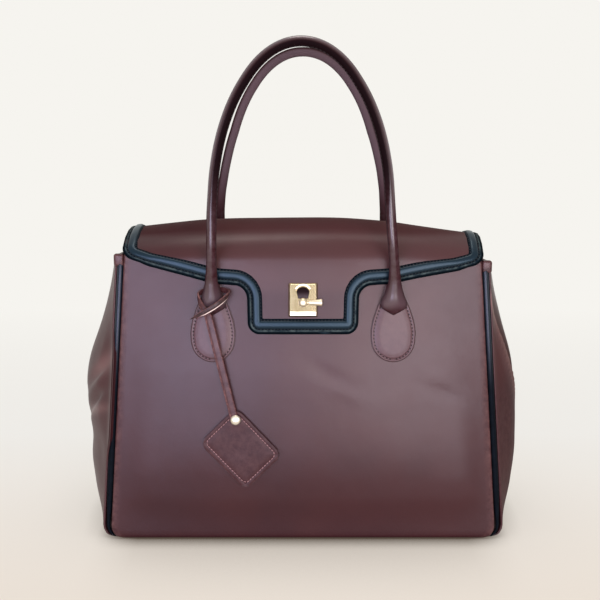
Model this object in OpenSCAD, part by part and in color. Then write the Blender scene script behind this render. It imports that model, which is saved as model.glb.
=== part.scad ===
/* [Body] */
// Width of the front and back panels at the base
body_w = 350; // [310:5:380]
// Width of the panels at their top edge
top_w = 320; // [300:5:340]
// Depth of the base, front to back
body_d = 150; // [130:5:170]
// Depth over the panels at their top edge
mouth_d = 76; // [70:2:84]
// Height of the panels' top edge
body_h = 258; // [245:1:275]
// Outward belly of the front and back panels
panel_crown = 5; // [2:0.5:7]
// Leather thickness of panels, gussets and base
leather_t = 2; // [1.6:0.1:2.4]
// Radius of the panels' turn under the base
base_r = 10; // [8:1:14]
// Radius of the panels' lower corners, seen from the front
corner_r = 9; // [6:1:14]
// How far the gussets fold outwards
gusset_fold = 31; // [20:1:36]
// Diameter of the piping in the side seams
piping_d = 5.6; // [4.6:0.2:6.4]
// Height of the leather caps over the seams
cap_h = 12; // [8:1:16]
// Width of the leather caps over the seams
cap_w = 8.4; // [7:0.2:10]
// Height of the leather facings inside the mouth
facing_h = 28; // [20:2:28]
// Thickness of the lining
lining_t = 0.7; // [0.5:0.1:1]
// Thickness of the base board
board_t = 2.4; // [1.6:0.2:3]

/* [Flap] */
// Width of the flap
flap_w = 317; // [300:1:320]
// Height of the flap's hinge line above the panels
hinge_rise = 4; // [3:0.5:6]
// Rise of the flap's crest over the hinge line, at its ends
crest_end = 6; // [4:0.5:8]
// Further rise of the crest in the middle
crest_arch = 12.6; // [6:0.2:14]
// Thickness of the flap's leather
flap_t = 1.6; // [1.2:0.1:2]
// Thickness of the flap's backing
flap_lining_t = 0.7; // [0.5:0.1:1]
// Gap between the flap and the front panel
flap_gap = 1.6; // [1.5:0.1:2.4]
// Width of the tongue at its foot
tongue_w = 95; // [85:1:100]
// Drop of the tongue below the fold
tongue_drop = 63; // [56:1:66]
// Drop of the flap's edge where it meets the tongue
wing_drop = 21; // [17:1:24]
// Width of the padded edge band
trim_w = 11.8; // [9:0.2:13]
// Height of the padding in the edge band
trim_t = 1.5; // [1:0.1:1.8]

/* [Handles] */
// Distance between a handle's two necks
neck_span = 161; // [150:1:166]
// Distance between a handle's legs where the arch starts
arch_span = 149; // [140:1:156]
// Height over the panels' top edge at which the arch starts
arch_rise = 58; // [42:2:72]
// Height over the panels' top edge of the handles' centre line at the top
handle_h = 180; // [162:2:202]
// Distance of the handles' pivots in front of the panels
pivot_out = 14.6; // [14.2:0.1:16]
// How much further out the handles stand above their necks
handle_kick = 5; // [4.5:0.5:9]
// Depth of the handles' pivots below the panels' top edge
pivot_drop = 21; // [18:0.5:22]
// Diameter of the handles
handle_d = 8.8; // [7.6:0.2:9.2]
// Leather thickness of the handles
handle_wall = 1.2; // [0.8:0.1:1.6]
// Width of the teardrop tabs
tab_w = 40; // [34:1:44]
// Depth of the teardrop tabs' lowest point below the panels' top edge
tab_drop = 96; // [88:1:102]
// Depth of the tabs' upper end below the panels' top edge
tab_top_drop = 28; // [27:1:32]
// Thickness of the tabs
tab_t = 1.8; // [1.2:0.1:2]
// Width of the necks where they flare
flare_w = 21; // [16:0.5:24]

/* [Lock] */
// Width of the lock plate
plate_w = 26; // [22:1:30]
// Height of the lock plate
plate_h = 31.5; // [30:0.5:34]
// Thickness of the lock plate
plate_t = 1.8; // [1.4:0.1:2.2]
// Depth of the lever's axis below the panels' top edge
lock_drop = 43; // [40:1:45]
// Diameter of the lever's ball
ball_d = 8.5; // [7:0.5:10]
// Reach of the lever from its axis
lever_len = 17; // [14:0.5:20]
// Diameter of the lever's free end
lever_end_d = 6.8; // [5:0.2:7.6]
// Diameter of the lever's spindle
spindle_d = 3; // [2.4:0.2:3.6]
// Length of the cam behind the flap
cam_len = 9; // [7:0.5:10]
// Width of the keeper's slot
keeper_slot_w = 4.6; // [4.2:0.2:6]

/* [Hang tag] */
// Width of the strap
strap_w = 6.4; // [4:0.2:7]
// Thickness of the strap
strap_t = 1.1; // [0.8:0.1:1.2]
// Length of the tag
tag_len = 57; // [48:1:62]
// Width of the tag
tag_w = 43; // [36:1:48]
// Thickness of each leaf of the tag
leaf_t = 1.3; // [1:0.1:1.6]
// Diameter of the tag's rivet head
rivet_d = 9.4; // [8:0.2:10]
// Drop of the tag's rivet below the handles' pivots
strap_drop = 125; // [110:1:130]
// Turn of the tag's long side below the level
tag_turn = 46; // [35:1:50]

/* [Hidden] */
$fn = 48;

burgundy = "#4a2c2f";
dark_burgundy = "#3a2225";
navy = "#1d2733";
gold = "#d9c08a";
cloth = "#8a7a66";
board_grey = "#6b6660";
cord_white = "#cfc8ba";
// Gap left in a seam between two pieces of leather
seam_gap = 0.15;
// Gap between surfaces that move past each other
run_gap = 0.3;
// Radial clearance of a shaft that turns in its bore
shaft_gap = 0.08;
// Overrun of every cut
cut = 1;
// Thickness of the lock's keeper and of its washer
keeper_t = 1;

// Numbers of cells along the large sheets
panel_cols = 16;
panel_rows = 9;
roll_rows = 3;
tube_sides = 10;

function lerp(a, b, t) = a + (b - a) * t;
function clamp01(t) = max(0, min(1, t));
function unit(v) = v / max(norm(v), 1e-9);
function last(list) = len(list) - 1;

// Point on a smooth curve through all the points of a list, t counted in spans
function spline_at(p, t) =
    let (i = min(floor(t), last(p) - 1), u = t - i,
         a = p[max(i - 1, 0)], b = p[i], c = p[i + 1], d = p[min(i + 2, last(p))])
    0.5 * (2 * b + (c - a) * u + (2 * a - 5 * b + 4 * c - d) * u * u + (3 * b - a - 3 * c + d) * u * u * u);
function spline(p, steps) = [for (k = [0 : last(p) * steps]) spline_at(p, k / steps)];
function bezier(a, b, c, d, t) =
    a * pow(1 - t, 3) + 3 * b * t * pow(1 - t, 2) + 3 * c * t * t * (1 - t) + d * pow(t, 3);

// Outline with a round of radius r[i] at each inner point of a polyline
function rounded(p, r, steps) = [
    for (i = [0 : last(p)])
        if (i == 0 || i == last(p)) p[i]
        else
            let (u = unit(p[i - 1] - p[i]), v = unit(p[i + 1] - p[i]), half = acos(u * v) / 2,
                 reach = r[i] / tan(half), a = p[i] + u * reach, b = p[i] + v * reach,
                 c = p[i] + unit(u + v) * r[i] / sin(half))
            for (k = [0 : steps])
                let (q = lerp(a, b, k / steps)) c + unit(q - c) * r[i]
];

// Normal of a grid of points at one of its points
function grid_normal(g, i, j, ring) =
    let (n = len(g[0]),
         before = ring ? (j + n - 1) % n : max(j - 1, 0),
         after = ring ? (j + 1) % n : min(j + 1, n - 1))
    unit(cross(g[min(i + 1, last(g))][j] - g[max(i - 1, 0)][j], g[i][after] - g[i][before]));
function offset_grid(g, d, ring = false) =
    [for (i = [0 : last(g)]) [for (j = [0 : last(g[0])]) g[i][j] + grid_normal(g, i, j, ring) * d]];

// Closed solid between an outer grid and an inner grid of the same size
module skin(outer, inner, ring = false) {
    rows = len(outer);
    cols = len(outer[0]);
    count = rows * cols;
    spans = ring ? cols : cols - 1;
    function o(i, j) = i * cols + j % cols;
    function n(i, j) = count + o(i, j);
    polyhedron(
        points = concat([for (row = outer, p = row) p], [for (row = inner, p = row) p]),
        faces = concat(
            [for (i = [0 : rows - 2], j = [0 : spans - 1]) each [
                [o(i, j), o(i, j + 1), o(i + 1, j + 1)], [o(i, j), o(i + 1, j + 1), o(i + 1, j)],
                [n(i, j), n(i + 1, j + 1), n(i, j + 1)], [n(i, j), n(i + 1, j), n(i + 1, j + 1)]]],
            [for (j = [0 : spans - 1]) each [
                [o(0, j), n(0, j + 1), o(0, j + 1)], [o(0, j), n(0, j), n(0, j + 1)],
                [o(rows - 1, j), o(rows - 1, j + 1), n(rows - 1, j + 1)],
                [o(rows - 1, j), n(rows - 1, j + 1), n(rows - 1, j)]]],
            ring ? [] : [for (i = [0 : rows - 2]) each [
                [o(i, 0), o(i + 1, 0), n(i + 1, 0)], [o(i, 0), n(i + 1, 0), n(i, 0)],
                [o(i, cols - 1), n(i + 1, cols - 1), o(i + 1, cols - 1)],
                [o(i, cols - 1), n(i, cols - 1), n(i + 1, cols - 1)]]]
        ),
        convexity = 6
    );
}

// Leather sheet of thickness t behind its outer face
module sheet(g, t, ring = false) {
    skin(g, offset_grid(g, -t, ring), ring);
}

// Closed solid through a list of rings with the same number of points
module loft(rings) {
    cols = len(rings[0]);
    rows = len(rings);
    polyhedron(
        points = [for (ring = rings, p = ring) p],
        faces = concat(
            [for (i = [0 : rows - 2], j = [0 : cols - 1]) each [
                [i * cols + j, i * cols + (j + 1) % cols, (i + 1) * cols + (j + 1) % cols],
                [i * cols + j, (i + 1) * cols + (j + 1) % cols, (i + 1) * cols + j]]],
            [[for (j = [cols - 1 : -1 : 0]) j]],
            [[for (j = [0 : cols - 1]) (rows - 1) * cols + j]]
        ),
        convexity = 6
    );
}

// Rings of a round tube along a path that never runs straight along Y, with one radius or one at each point
function tube_rings(path, radii, sides) = [
    for (i = [0 : last(path)])
        let (t = unit(path[min(i + 1, last(path))] - path[max(i - 1, 0)]),
             u = unit(cross(t, [0, 1, 0])), v = cross(u, t), r = is_list(radii) ? radii[i] : radii)
        [for (k = [0 : sides - 1]) path[i] + r * (u * cos(360 * k / sides) + v * sin(360 * k / sides))]
];

// The body's form: half width, half depth and belly at a height
function half_w(z) = lerp(body_w, top_w, z / body_h) / 2;
function half_d(z) = lerp(body_d, mouth_d, z / body_h) / 2;
function face_y(x, z) =
    half_d(z) + panel_crown * cos(90 * clamp01(abs(x) / half_w(z))) * sin(180 * clamp01(z / body_h));
// Heights that follow the panels' top edge
arch_z = body_h + arch_rise;
handle_top_z = body_h + handle_h;
pivot_z = body_h - pivot_drop;
tab_z = body_h - tab_drop;
tab_top_z = body_h - tab_top_drop;
lock_z = body_h - lock_drop;
pivot_y = face_y(neck_span / 2, pivot_z) + pivot_out;
handle_y = pivot_y + handle_kick;
function corner_cut(z) = z >= corner_r ? 0 : corner_r - sqrt(pow(corner_r, 2) - pow(corner_r - z, 2));
// Inward turn of the side seams at the lower corners
function seam_turn(z) = min(leather_t, max(0, base_r - z) * corner_cut(z) / corner_r);

// Heights and inward turns of the rows of a panel, from under the base to the top edge
lip = leather_t / 2;
function rows_to(top) = concat(
    [[0, base_r + lip]],
    [for (k = [0 : roll_rows - 1]) let (a = 90 * k / roll_rows)
        [base_r * (1 - cos(a)), base_r * (1 - sin(a))]],
    [for (k = [0 : panel_rows]) [lerp(base_r, top, k / panel_rows), 0]]
);
// Front face of the front panel, seen from the front: left to right, bottom to top
function panel_grid(top) = [
    for (k = [0 : panel_cols]) let (u = lerp(-1, 1, k / panel_cols))
        [for (row = rows_to(top)) let (z = row[0], x = u * (half_w(z) - corner_cut(z)))
            [x, -(face_y(x, z) - row[1]), z]]
];

// Gusset: share of the outward fold by share of the height
gusset_shares = [[0, 0], [0.04, 0.34], [0.1, 0.64], [0.24, 0.9], [0.39, 1], [0.5, 0.96], [0.62, 0.82],
    [0.75, 0.6], [0.88, 0.4], [1, 0.24]];
function seam_x(z) = half_w(z) + piping_d + seam_gap * 2;
function gusset_y(z) = half_d(z) - piping_d - seam_gap * 2 - seam_turn(z);
// The fold is crisp at the top and soft below
function fold_shape(q, z) = lerp(cos(90 * q), 1 - pow(abs(q), 1.25), 0.6 * clamp01(z / body_h));
function gusset_x(q, z) = seam_x(z) + gusset_fold * lookup(z / body_h, gusset_shares) * fold_shape(q, z);
gusset_cols = 12;
function gusset_grid(top) = [
    for (k = [0 : gusset_cols]) let (q = lerp(-1, 1, k / gusset_cols))
        [for (row = rows_to(top)) [gusset_x(q, row[0]) - row[1], q * gusset_y(row[0]), row[0]]]
];

// Piping beside the front left edge, from the cap down round the corner
piping_top_z = body_h - cap_h + piping_d / 2 - run_gap;
function piping_path() = [
    for (k = [0 : panel_rows + 5])
        let (z = lerp(piping_d / 2 + seam_gap, piping_top_z, pow(k / (panel_rows + 5), 1.5)))
        [-(half_w(z) - corner_cut(z) + seam_gap + piping_d / 2),
         -(half_d(z) - piping_d / 2 - seam_turn(z)), z]
];

module front_panel() {
    color(burgundy) difference() {
        sheet(panel_grid(body_h), leather_t);
        lock_frame() keeper_pocket();
    }
}

module back_panel() {
    color(burgundy) rotate([0, 0, 180]) sheet(panel_grid(body_h), leather_t);
}

// Flat bottom between the rolled edges of the panels and gussets
module base_panel() {
    w = 2 * (seam_x(0) - base_r - lip - seam_gap);
    d = body_d - 2 * (base_r + lip + seam_gap);
    r = piping_d;
    color(dark_burgundy) linear_extrude(leather_t) {
        square([w - 2 * r, d], center = true);
        square([w, d - 2 * r], center = true);
        for (x = [-1, 1], y = [-1, 1]) translate([x * (w / 2 - r), y * (d / 2 - r)]) circle(r);
    }
}

module gusset() {
    color(burgundy) sheet(gusset_grid(body_h - cap_h / 2), leather_t);
}
module right_gusset() { gusset(); }
module left_gusset() { rotate([0, 0, 180]) gusset(); }

module piping() {
    color(navy) loft(tube_rings(piping_path(), piping_d / 2, 8));
}
module front_left_piping() { piping(); }
module front_right_piping() { mirror([1, 0, 0]) piping(); }
module back_left_piping() { mirror([0, 1, 0]) piping(); }
module back_right_piping() { rotate([0, 0, 180]) piping(); }

// Caps that close the tops of the four side seams
module seam_end_caps() {
    z = body_h - cap_h + piping_d / 2 + seam_gap;
    h = cap_h - piping_d / 2;
    d = piping_d;
    color(burgundy) for (x = [-1, 1], y = [-1, 1])
        translate([x * (half_w(z) + seam_gap + cap_w / 2), y * (half_d(z) - d / 2), z]) {
            for (i = [-1, 1]) translate([i * (cap_w - d) / 2, 0, 0]) {
                cylinder(d = d, h = h - d / 2);
                translate([0, 0, h - d / 2]) sphere(d = d);
            }
            translate([0, 0, (h - d / 2) / 2]) cube([cap_w - d, d, h - d / 2], center = true);
            translate([0, 0, h - d / 2]) rotate([0, 90, 0]) cylinder(d = d, h = cap_w - d, center = true);
        }
}

// Band inside the mouth, behind the front panel's top edge
module facing() {
    cols = 10;
    rows = 3;
    edge = piping_d;
    g = [for (k = [0 : cols]) let (u = lerp(-1, 1, k / cols))
        [for (i = [0 : rows]) let (z = lerp(body_h - facing_h, body_h, i / rows), x = u * (half_w(z) - edge))
            [x, -(face_y(x, z) - leather_t - run_gap), z]]];
    color(dark_burgundy) sheet(g, leather_t / 2);
}
module front_top_facing() { facing(); }
module back_top_facing() { rotate([0, 0, 180]) facing(); }

// Stiff board on the base
module base_board() {
    w = body_w - 2 * base_r;
    d = body_d - 2 * base_r - 2 * leather_t;
    r = base_r;
    color(board_grey) translate([0, 0, leather_t]) linear_extrude(board_t) {
        square([w - 2 * r, d], center = true);
        square([w, d - 2 * r], center = true);
        for (x = [-1, 1], y = [-1, 1]) translate([x * (w / 2 - r), y * (d / 2 - r)]) circle(r);
    }
}

// Inner bag: a closed floor and walls that follow the leather
lining_gap = leather_t + 3 * run_gap + keeper_t;
lining_floor_z = leather_t + board_t + seam_gap;
lining_top_z = body_h - facing_h - run_gap;
function lining_ring(z, inset) =
    let (w = half_w(z) - inset, d = half_d(z) - inset,
         fold = gusset_fold * lookup(z / body_h, gusset_shares) * 0.8)
    concat(
        [for (k = [0 : 8]) let (x = lerp(-w, w, k / 8))
            [x, d + (face_y(x, z) - half_d(z)) * 0.9, z]],
        [for (q = [0.5, 0, -0.5]) [w + fold * (1 - abs(q)), q * d, z]],
        [for (k = [0 : 8]) let (x = lerp(w, -w, k / 8))
            [x, -(d + (face_y(x, z) - half_d(z)) * 0.9), z]],
        [for (q = [-0.5, 0, 0.5]) [-w - fold * (1 - abs(q)), q * d, z]]
    );
module lining() {
    levels = 5;
    function inset(k) = lining_gap + base_r / 2 * pow(1 - k / levels, 8);
    outer = [for (k = [0 : levels]) lining_ring(lerp(lining_floor_z, lining_top_z, k / levels), inset(k))];
    inner = [for (k = [0 : levels])
        lining_ring(lerp(lining_floor_z + lining_t, lining_top_z + cut, k / levels), inset(k) + lining_t)];
    color(cloth) difference() {
        loft(outer);
        loft(inner);
    }
}

// Flap: outer face by place across x and arc length s from the hinge line
hinge_y = mouth_d / 2 - leather_t / 2;
hinge_z = body_h + hinge_rise;
flap_stack = flap_t + seam_gap + flap_lining_t;
fold_z = body_h - 3 * leather_t;
fold_y = mouth_d / 2 - base_r * 0.6;
fold_reach = base_r * 0.7;
flap_top_len = 1.12 * (hinge_y + fold_y);
flap_fold_len = 2 * base_r;
function crest(x) = crest_end + crest_arch * (1 - pow(clamp01(abs(x) / (flap_w / 2)), 3));
function flap_front_y(x, z) = face_y(x, z) + flap_gap + flap_stack;
function flap_face(x, s) =
    let (c = crest(x),
         a = [hinge_y, hinge_z], b = [hinge_y - leather_t, hinge_z + 1.78 * c],
         d = [-fold_y, hinge_z + 0.33 * c],
         m = [-fold_y + 0.42 * (hinge_y + fold_y), hinge_z + 0.81 * c],
         e = [-flap_front_y(x, fold_z), fold_z],
         down = unit([flap_front_y(x, fold_z) - flap_front_y(x, fold_z - leather_t), -leather_t]),
         p = s < flap_top_len ? bezier(a, b, m, d, s / flap_top_len)
           : s < flap_top_len + flap_fold_len
             ? bezier(d, d + unit(d - m) * fold_reach, e - down * fold_reach, e,
                     (s - flap_top_len) / flap_fold_len)
             : let (z = fold_z - (s - flap_top_len - flap_fold_len)) [-flap_front_y(x, z), z])
    [x, p[0], p[1]];
function flap_normal(x, s) =
    let (e = leather_t / 4, s0 = max(s - e, 0))
    unit(cross(flap_face(x, s + e) - flap_face(x, s0), flap_face(x + e, s) - flap_face(x - e, s)));
function flap_at(x, s, d) = flap_face(x, s) + flap_normal(x, s) * d;

// Edge of the right half of the flap, from the hinge line to the tip of the tongue, as [x, s]
front_s = flap_top_len + flap_fold_len;
tongue_s = front_s + tongue_drop;
wing_s = front_s + wing_drop;
flap_outline = rounded(
    [[flap_w / 2, 0], [flap_w / 2 - seam_gap * 4, front_s - flap_fold_len * 0.75],
     [flap_w / 2 * 0.84, front_s + wing_drop * 0.06], [flap_w / 2 * 0.5, wing_s - wing_drop * 0.1],
     [tongue_w / 2 + leather_t / 2, wing_s], [tongue_w / 2, tongue_s], [0, tongue_s]],
    [0, corner_r, 5 * corner_r, 5 * corner_r, 1.5 * corner_r, corner_r, 0], 2);
// The same edge with no long step across, which gives the columns of the flap's grid
column_step = 1.4 * base_r;
flap_edge = concat(
    [for (k = [0 : last(flap_outline) - 1])
        let (a = flap_outline[k], b = flap_outline[k + 1], n = max(1, ceil((a[0] - b[0]) / column_step)))
        each [for (i = [0 : n - 1]) lerp(a, b, i / n)]],
    [flap_outline[last(flap_outline)]]
);
// Arc length at which the flap ends at a place across it
edge_table = [for (k = [last(flap_outline) : -1 : 1]) flap_outline[k]];
function edge_s(x) = lookup(min(abs(x), flap_outline[1][0]), edge_table);
rows_top = 4;
rows_fold = 4;
rows_front = 2;
fold_s = flap_top_len * 0.94;
function flap_rows(x) =
    let (edge = edge_s(x), low_s = min(front_s, lerp(fold_s, edge, 0.75)))
    concat(
        [for (k = [0 : rows_top]) lerp(0, fold_s, k / rows_top)],
        [for (k = [1 : rows_fold]) lerp(fold_s, low_s, k / rows_fold)],
        [for (k = [1 : rows_front]) lerp(low_s, edge, k / rows_front)]
    );
flap_columns = concat(
    [for (p = flap_edge) -p[0]],
    [for (k = [last(flap_edge) - 1 : -1 : 0]) flap_edge[k][0]]
);
function flap_grid(depth) =
    [for (x = flap_columns) let (rows = flap_rows(x))
        [for (k = [last(rows) : -1 : 0]) flap_at(x, rows[k], -depth)]];

module flap_panel() {
    color(burgundy) difference() {
        skin(flap_grid(0), flap_grid(flap_t));
        lock_frame() spindle_hole();
    }
}

module flap_lining() {
    color(dark_burgundy) difference() {
        skin(flap_grid(flap_t + seam_gap), flap_grid(flap_stack));
        lock_frame() backing_recess();
    }
}

// Padded band along the flap's edge
trim_shares = [[0, 0.1], [0.12, 0.75], [0.5, 1], [0.88, 0.75], [1, 0.1]];
function trim_path() =
    let (half = concat([[flap_outline[0][0], 2 * trim_t]],
                       [for (k = [1 : rows_top]) [flap_outline[0][0], fold_s * k / rows_top]],
                       [for (k = [1 : last(flap_edge)]) flap_edge[k]]))
    concat([for (p = half) [-p[0], p[1]]], [for (k = [last(half) - 1 : -1 : 0]) half[k]]);
function path_side(p, i) =
    let (a = p[max(i - 1, 0)], b = p[i], c = p[min(i + 1, last(p))],
         u = i == 0 ? unit(c - b) : unit(b - a), v = i == last(p) ? u : unit(c - b), t = unit(u + v),
         bend = max(0.5, sqrt((1 + u * v) / 2)))
    [-t[1], t[0]] * (-1 / bend);
module flap_trim() {
    path = trim_path();
    function at(i, j, raised) =
        let (q = path[i] + path_side(path, i) * trim_w * trim_shares[j][0])
        flap_at(q[0], max(q[1], 0), run_gap + 2 * seam_gap + (raised ? trim_t * trim_shares[j][1] : 0));
    outer = [for (i = [0 : last(path)]) [for (j = [0 : last(trim_shares)]) at(i, j, true)]];
    inner = [for (i = [0 : last(path)]) [for (j = [0 : last(trim_shares)]) at(i, j, false)]];
    color(navy) skin(outer, inner);
}

// The part of the flap's leather that is sewn to the back panel
anchor_h = 26;
module flap_anchor_strip() {
    top = hinge_z - run_gap;
    w = flap_w / 2;
    cols = 12;
    heights = [body_h - anchor_h, body_h - anchor_h / 2, body_h + run_gap, top];
    lean = [0, 0, 0, 1];
    g = [for (k = [0 : cols]) let (x = lerp(w, -w, k / cols))
        [for (i = [0 : last(heights)]) let (z = heights[i])
            [x, lerp(face_y(x, min(z, body_h)) + seam_gap + flap_t, hinge_y, lean[i]), z]]];
    color(burgundy) sheet(g, flap_t);
}

// Frame of the lock: on the flap's face at the lever's axis, X right, Y into the bag, Z up the flap
lock_y = flap_front_y(0, lock_z);
lock_lean = atan2(flap_front_y(0, lock_z - leather_t) - flap_front_y(0, lock_z + leather_t), 2 * leather_t);
module lock_frame() {
    translate([0, -lock_y, lock_z]) rotate([-lock_lean, 0, 0]) children();
}
// Lower and upper edge of the plate from the lever's axis
plate_foot = -plate_h * 0.385;
keeper_gap = 0.5;
cam_t = 1;
cam_w = 3;
// Depths from the flap's face
keeper_back = (flap_stack + flap_gap) * cos(lock_lean) - seam_gap;
keeper_front = keeper_back - keeper_t;
cam_front = keeper_back + run_gap;
slot_rise = cam_len;
boss_d = ball_d + 2 * plate_t;

module slot_shape(w, low, high) {
    for (z = [low + w / 2, high - w / 2]) translate([0, z]) circle(d = w);
    translate([-w / 2, low + w / 2]) square([w, high - low - w]);
}
// A flat piece in the lock's frame, between two depths from the flap's face
module lock_slab(from, to) {
    translate([0, to, 0]) rotate([90, 0, 0]) linear_extrude(to - from) children();
}
module bore(d, from, to) {
    translate([0, to, 0]) rotate([90, 0, 0]) cylinder(d = d, h = to - from);
}
module box_shape(w, low, high) {
    translate([-w / 2, low]) square([w, high - low]);
}
// Hole in the front panel in which the cam turns, and leaves upwards
module keeper_pocket() {
    lock_slab(keeper_back - cut, keeper_back + leather_t + cut)
        box_shape(cam_len + 2 * keeper_gap, -cam_len / 2 - keeper_gap, cam_len / 2 + slot_rise);
}
module spindle_hole() {
    bore(spindle_d + 2 * run_gap, -cut, flap_stack + cut);
}
module backing_recess() {
    lock_slab(flap_t, flap_stack + cut)
        box_shape(plate_w + 2 * run_gap, plate_foot - run_gap, plate_foot + plate_h + run_gap);
}

module lock_plate() {
    slot_low = ball_d / 2 - plate_t / 2;
    slot_high = plate_foot + plate_h - 2.2 * plate_t;
    slot_w = plate_w * 0.4;
    rim_w = plate_w * 0.62;
    rim_t = plate_t * 0.8;
    rim_low = plate_foot + plate_t;
    rim_high = plate_foot + plate_h - plate_t / 2;
    color(gold) lock_frame() difference() {
        union() {
            lock_slab(-plate_t, 0) box_shape(plate_w, plate_foot, plate_foot + plate_h);
            bore(boss_d, -plate_t * 1.5, 0);
            lock_slab(-plate_t * 1.5, -plate_t / 2) difference() {
                slot_shape(rim_w, rim_low, rim_high);
                slot_shape(rim_w - 2 * rim_t, rim_low + rim_t, rim_high - rim_t);
            }
        }
        lock_slab(-plate_t - cut, cut) {
            translate([0, slot_high - slot_w / 2]) circle(d = slot_w);
            polygon([[-slot_w / 2, slot_high - slot_w / 2], [slot_w / 2, slot_high - slot_w / 2],
                     [slot_w * 0.38, slot_low], [-slot_w * 0.38, slot_low]]);
        }
        bore(spindle_d + 2 * shaft_gap, -plate_t * 1.5 - cut, cut);
    }
}

module lock_backing_plate() {
    color(gold) lock_frame() difference() {
        lock_slab(flap_t + seam_gap, flap_stack)
            box_shape(plate_w, plate_foot, plate_foot + plate_h);
        bore(spindle_d + 2 * run_gap, flap_t - cut, flap_stack + cut);
        lock_rivet_places() bore(rivet_shank_d + 2 * seam_gap, flap_t - cut, flap_stack + cut);
    }
}

rivet_shank_d = 2;
module lock_rivet_places() {
    inset = rivet_shank_d * 1.5;
    for (x = [-1, 1], z = [plate_foot + inset, plate_foot + plate_h - inset])
        translate([x * (plate_w / 2 - inset), 0, z]) children();
}
module lock_plate_rivets() {
    color(gold) lock_frame() lock_rivet_places()
        bore(rivet_shank_d, flap_t + seam_gap, flap_stack + seam_gap);
}

// Slotted plate on the front panel
module lock_keeper() {
    w = plate_w * 0.8;
    low = -cam_len / 2 - 3 * keeper_gap;
    high = cam_len / 2 + slot_rise;
    rim = keeper_slot_w * 0.7;
    color(gold) lock_frame() difference() {
        lock_slab(keeper_front, keeper_back) box_shape(w, low - rim, high + rim);
        lock_slab(keeper_front - cut, keeper_back + cut) box_shape(keeper_slot_w, low, high);
    }
}
module keeper_washer() {
    w = plate_w * 0.8;
    from = keeper_back + leather_t + 2 * run_gap;
    color(gold) lock_frame() difference() {
        lock_slab(from, from + keeper_t)
            box_shape(w, -cam_len, cam_len / 2 + slot_rise + 2 * keeper_gap);
        lock_slab(from - cut, from + keeper_t + cut)
            box_shape(keeper_slot_w, -cam_len / 2, cam_len / 2 + slot_rise);
    }
}

// Ball and tapered lever in front of the plate, spindle through it, cam behind the keeper
module turn_lever() {
    ball_y = -plate_t * 1.5 - run_gap - ball_d / 2;
    lever_end_h = lever_end_d / 6;
    color(gold) lock_frame() {
        translate([0, ball_y, 0]) {
            sphere(d = ball_d);
            rotate([0, 90, 0])
                cylinder(d1 = lever_end_d * 0.55, d2 = lever_end_d, h = lever_len - lever_end_h);
            translate([lever_len - lever_end_h, 0, 0]) rotate([0, 90, 0])
                cylinder(d1 = lever_end_d, d2 = lever_end_d * 0.7, h = lever_end_h);
        }
        bore(spindle_d, ball_y, cam_front + cam_t / 2);
        lock_slab(cam_front, cam_front + cam_t) box_shape(cam_w, -cam_len / 2, cam_len / 2);
    }
}

// Teardrop tab: share of the half width by share of the height
tab_shares = [[0, 0.02], [0.03, 0.42], [0.1, 0.74], [0.2, 0.93], [0.38, 1], [0.55, 0.91], [0.7, 0.74],
    [0.82, 0.56], [0.92, 0.44], [1, 0.38]];
// Neck: share of the height, of the flare's half width, of the tube's half thickness
neck_shares = [[0, 0.12, 0.2], [0.28, 0.62, 0.42], [0.52, 0.97, 0.64], [0.78, 0.72, 0.9], [1, 0.49, 1]];
neck_top_z = pivot_z - handle_d / 2 - run_gap;
neck_tip_z = neck_top_z - 1.5 * flare_w;
neck_x = neck_span / 2;
function tab_y(x, z) = face_y(x, z) + seam_gap + tab_t;
module handle_tab() {
    cols = 6;
    g = [for (k = [0 : cols]) let (u = lerp(-1, 1, k / cols))
        [for (row = tab_shares) let (z = lerp(tab_z, tab_top_z, row[0]), x = neck_x + u * tab_w / 2 * row[1])
            [x, -tab_y(x, z), z]]];
    rings = [for (row = neck_shares)
        let (z = lerp(neck_tip_z, neck_top_z, row[0]), a = row[1] < 0.49 ? flare_w / 2 * row[1]
                : max(handle_d / 2, flare_w / 2 * row[1]), b = handle_d / 2 * row[2],
             y = lerp(tab_y(neck_x, z) + b - tab_t / 3, pivot_y, pow(row[0], 2)))
        [for (j = [0 : 11]) [neck_x + a * cos(30 * j), -y - b * sin(30 * j), z]]];
    color(burgundy) {
        sheet(g, tab_t);
        loft(rings);
    }
}
module front_right_handle_tab() { handle_tab(); }
module front_left_handle_tab() { mirror([1, 0, 0]) handle_tab(); }
module back_right_handle_tab() { mirror([0, 1, 0]) handle_tab(); }
module back_left_handle_tab() { rotate([0, 0, 180]) handle_tab(); }

// Centre line of the front handle: left leg up, arch, right leg down
kick_h = 35;
function leg_y(z) = lerp(pivot_y, handle_y, 1 - pow(1 - clamp01((z - pivot_z) / kick_h), 1.7));
function leg_x(z) = lerp(neck_span, arch_span, clamp01((z - pivot_z) / (arch_z - pivot_z))) / 2;
leg_zs = [for (k = [0 : 5]) lerp(pivot_z, arch_z, pow(k / 6, 1.4))];
arch_steps = 15;
function handle_path() = concat(
    [for (z = leg_zs) [-leg_x(z), -leg_y(z), z]],
    [for (k = [0 : arch_steps]) let (a = 180 - 180 * k / arch_steps)
        [arch_span / 2 * cos(a), -handle_y, arch_z + (handle_top_z - arch_z) * sin(a)]],
    [for (k = [last(leg_zs) : -1 : 0]) let (z = leg_zs[k]) [leg_x(z), -leg_y(z), z]]
);
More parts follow.
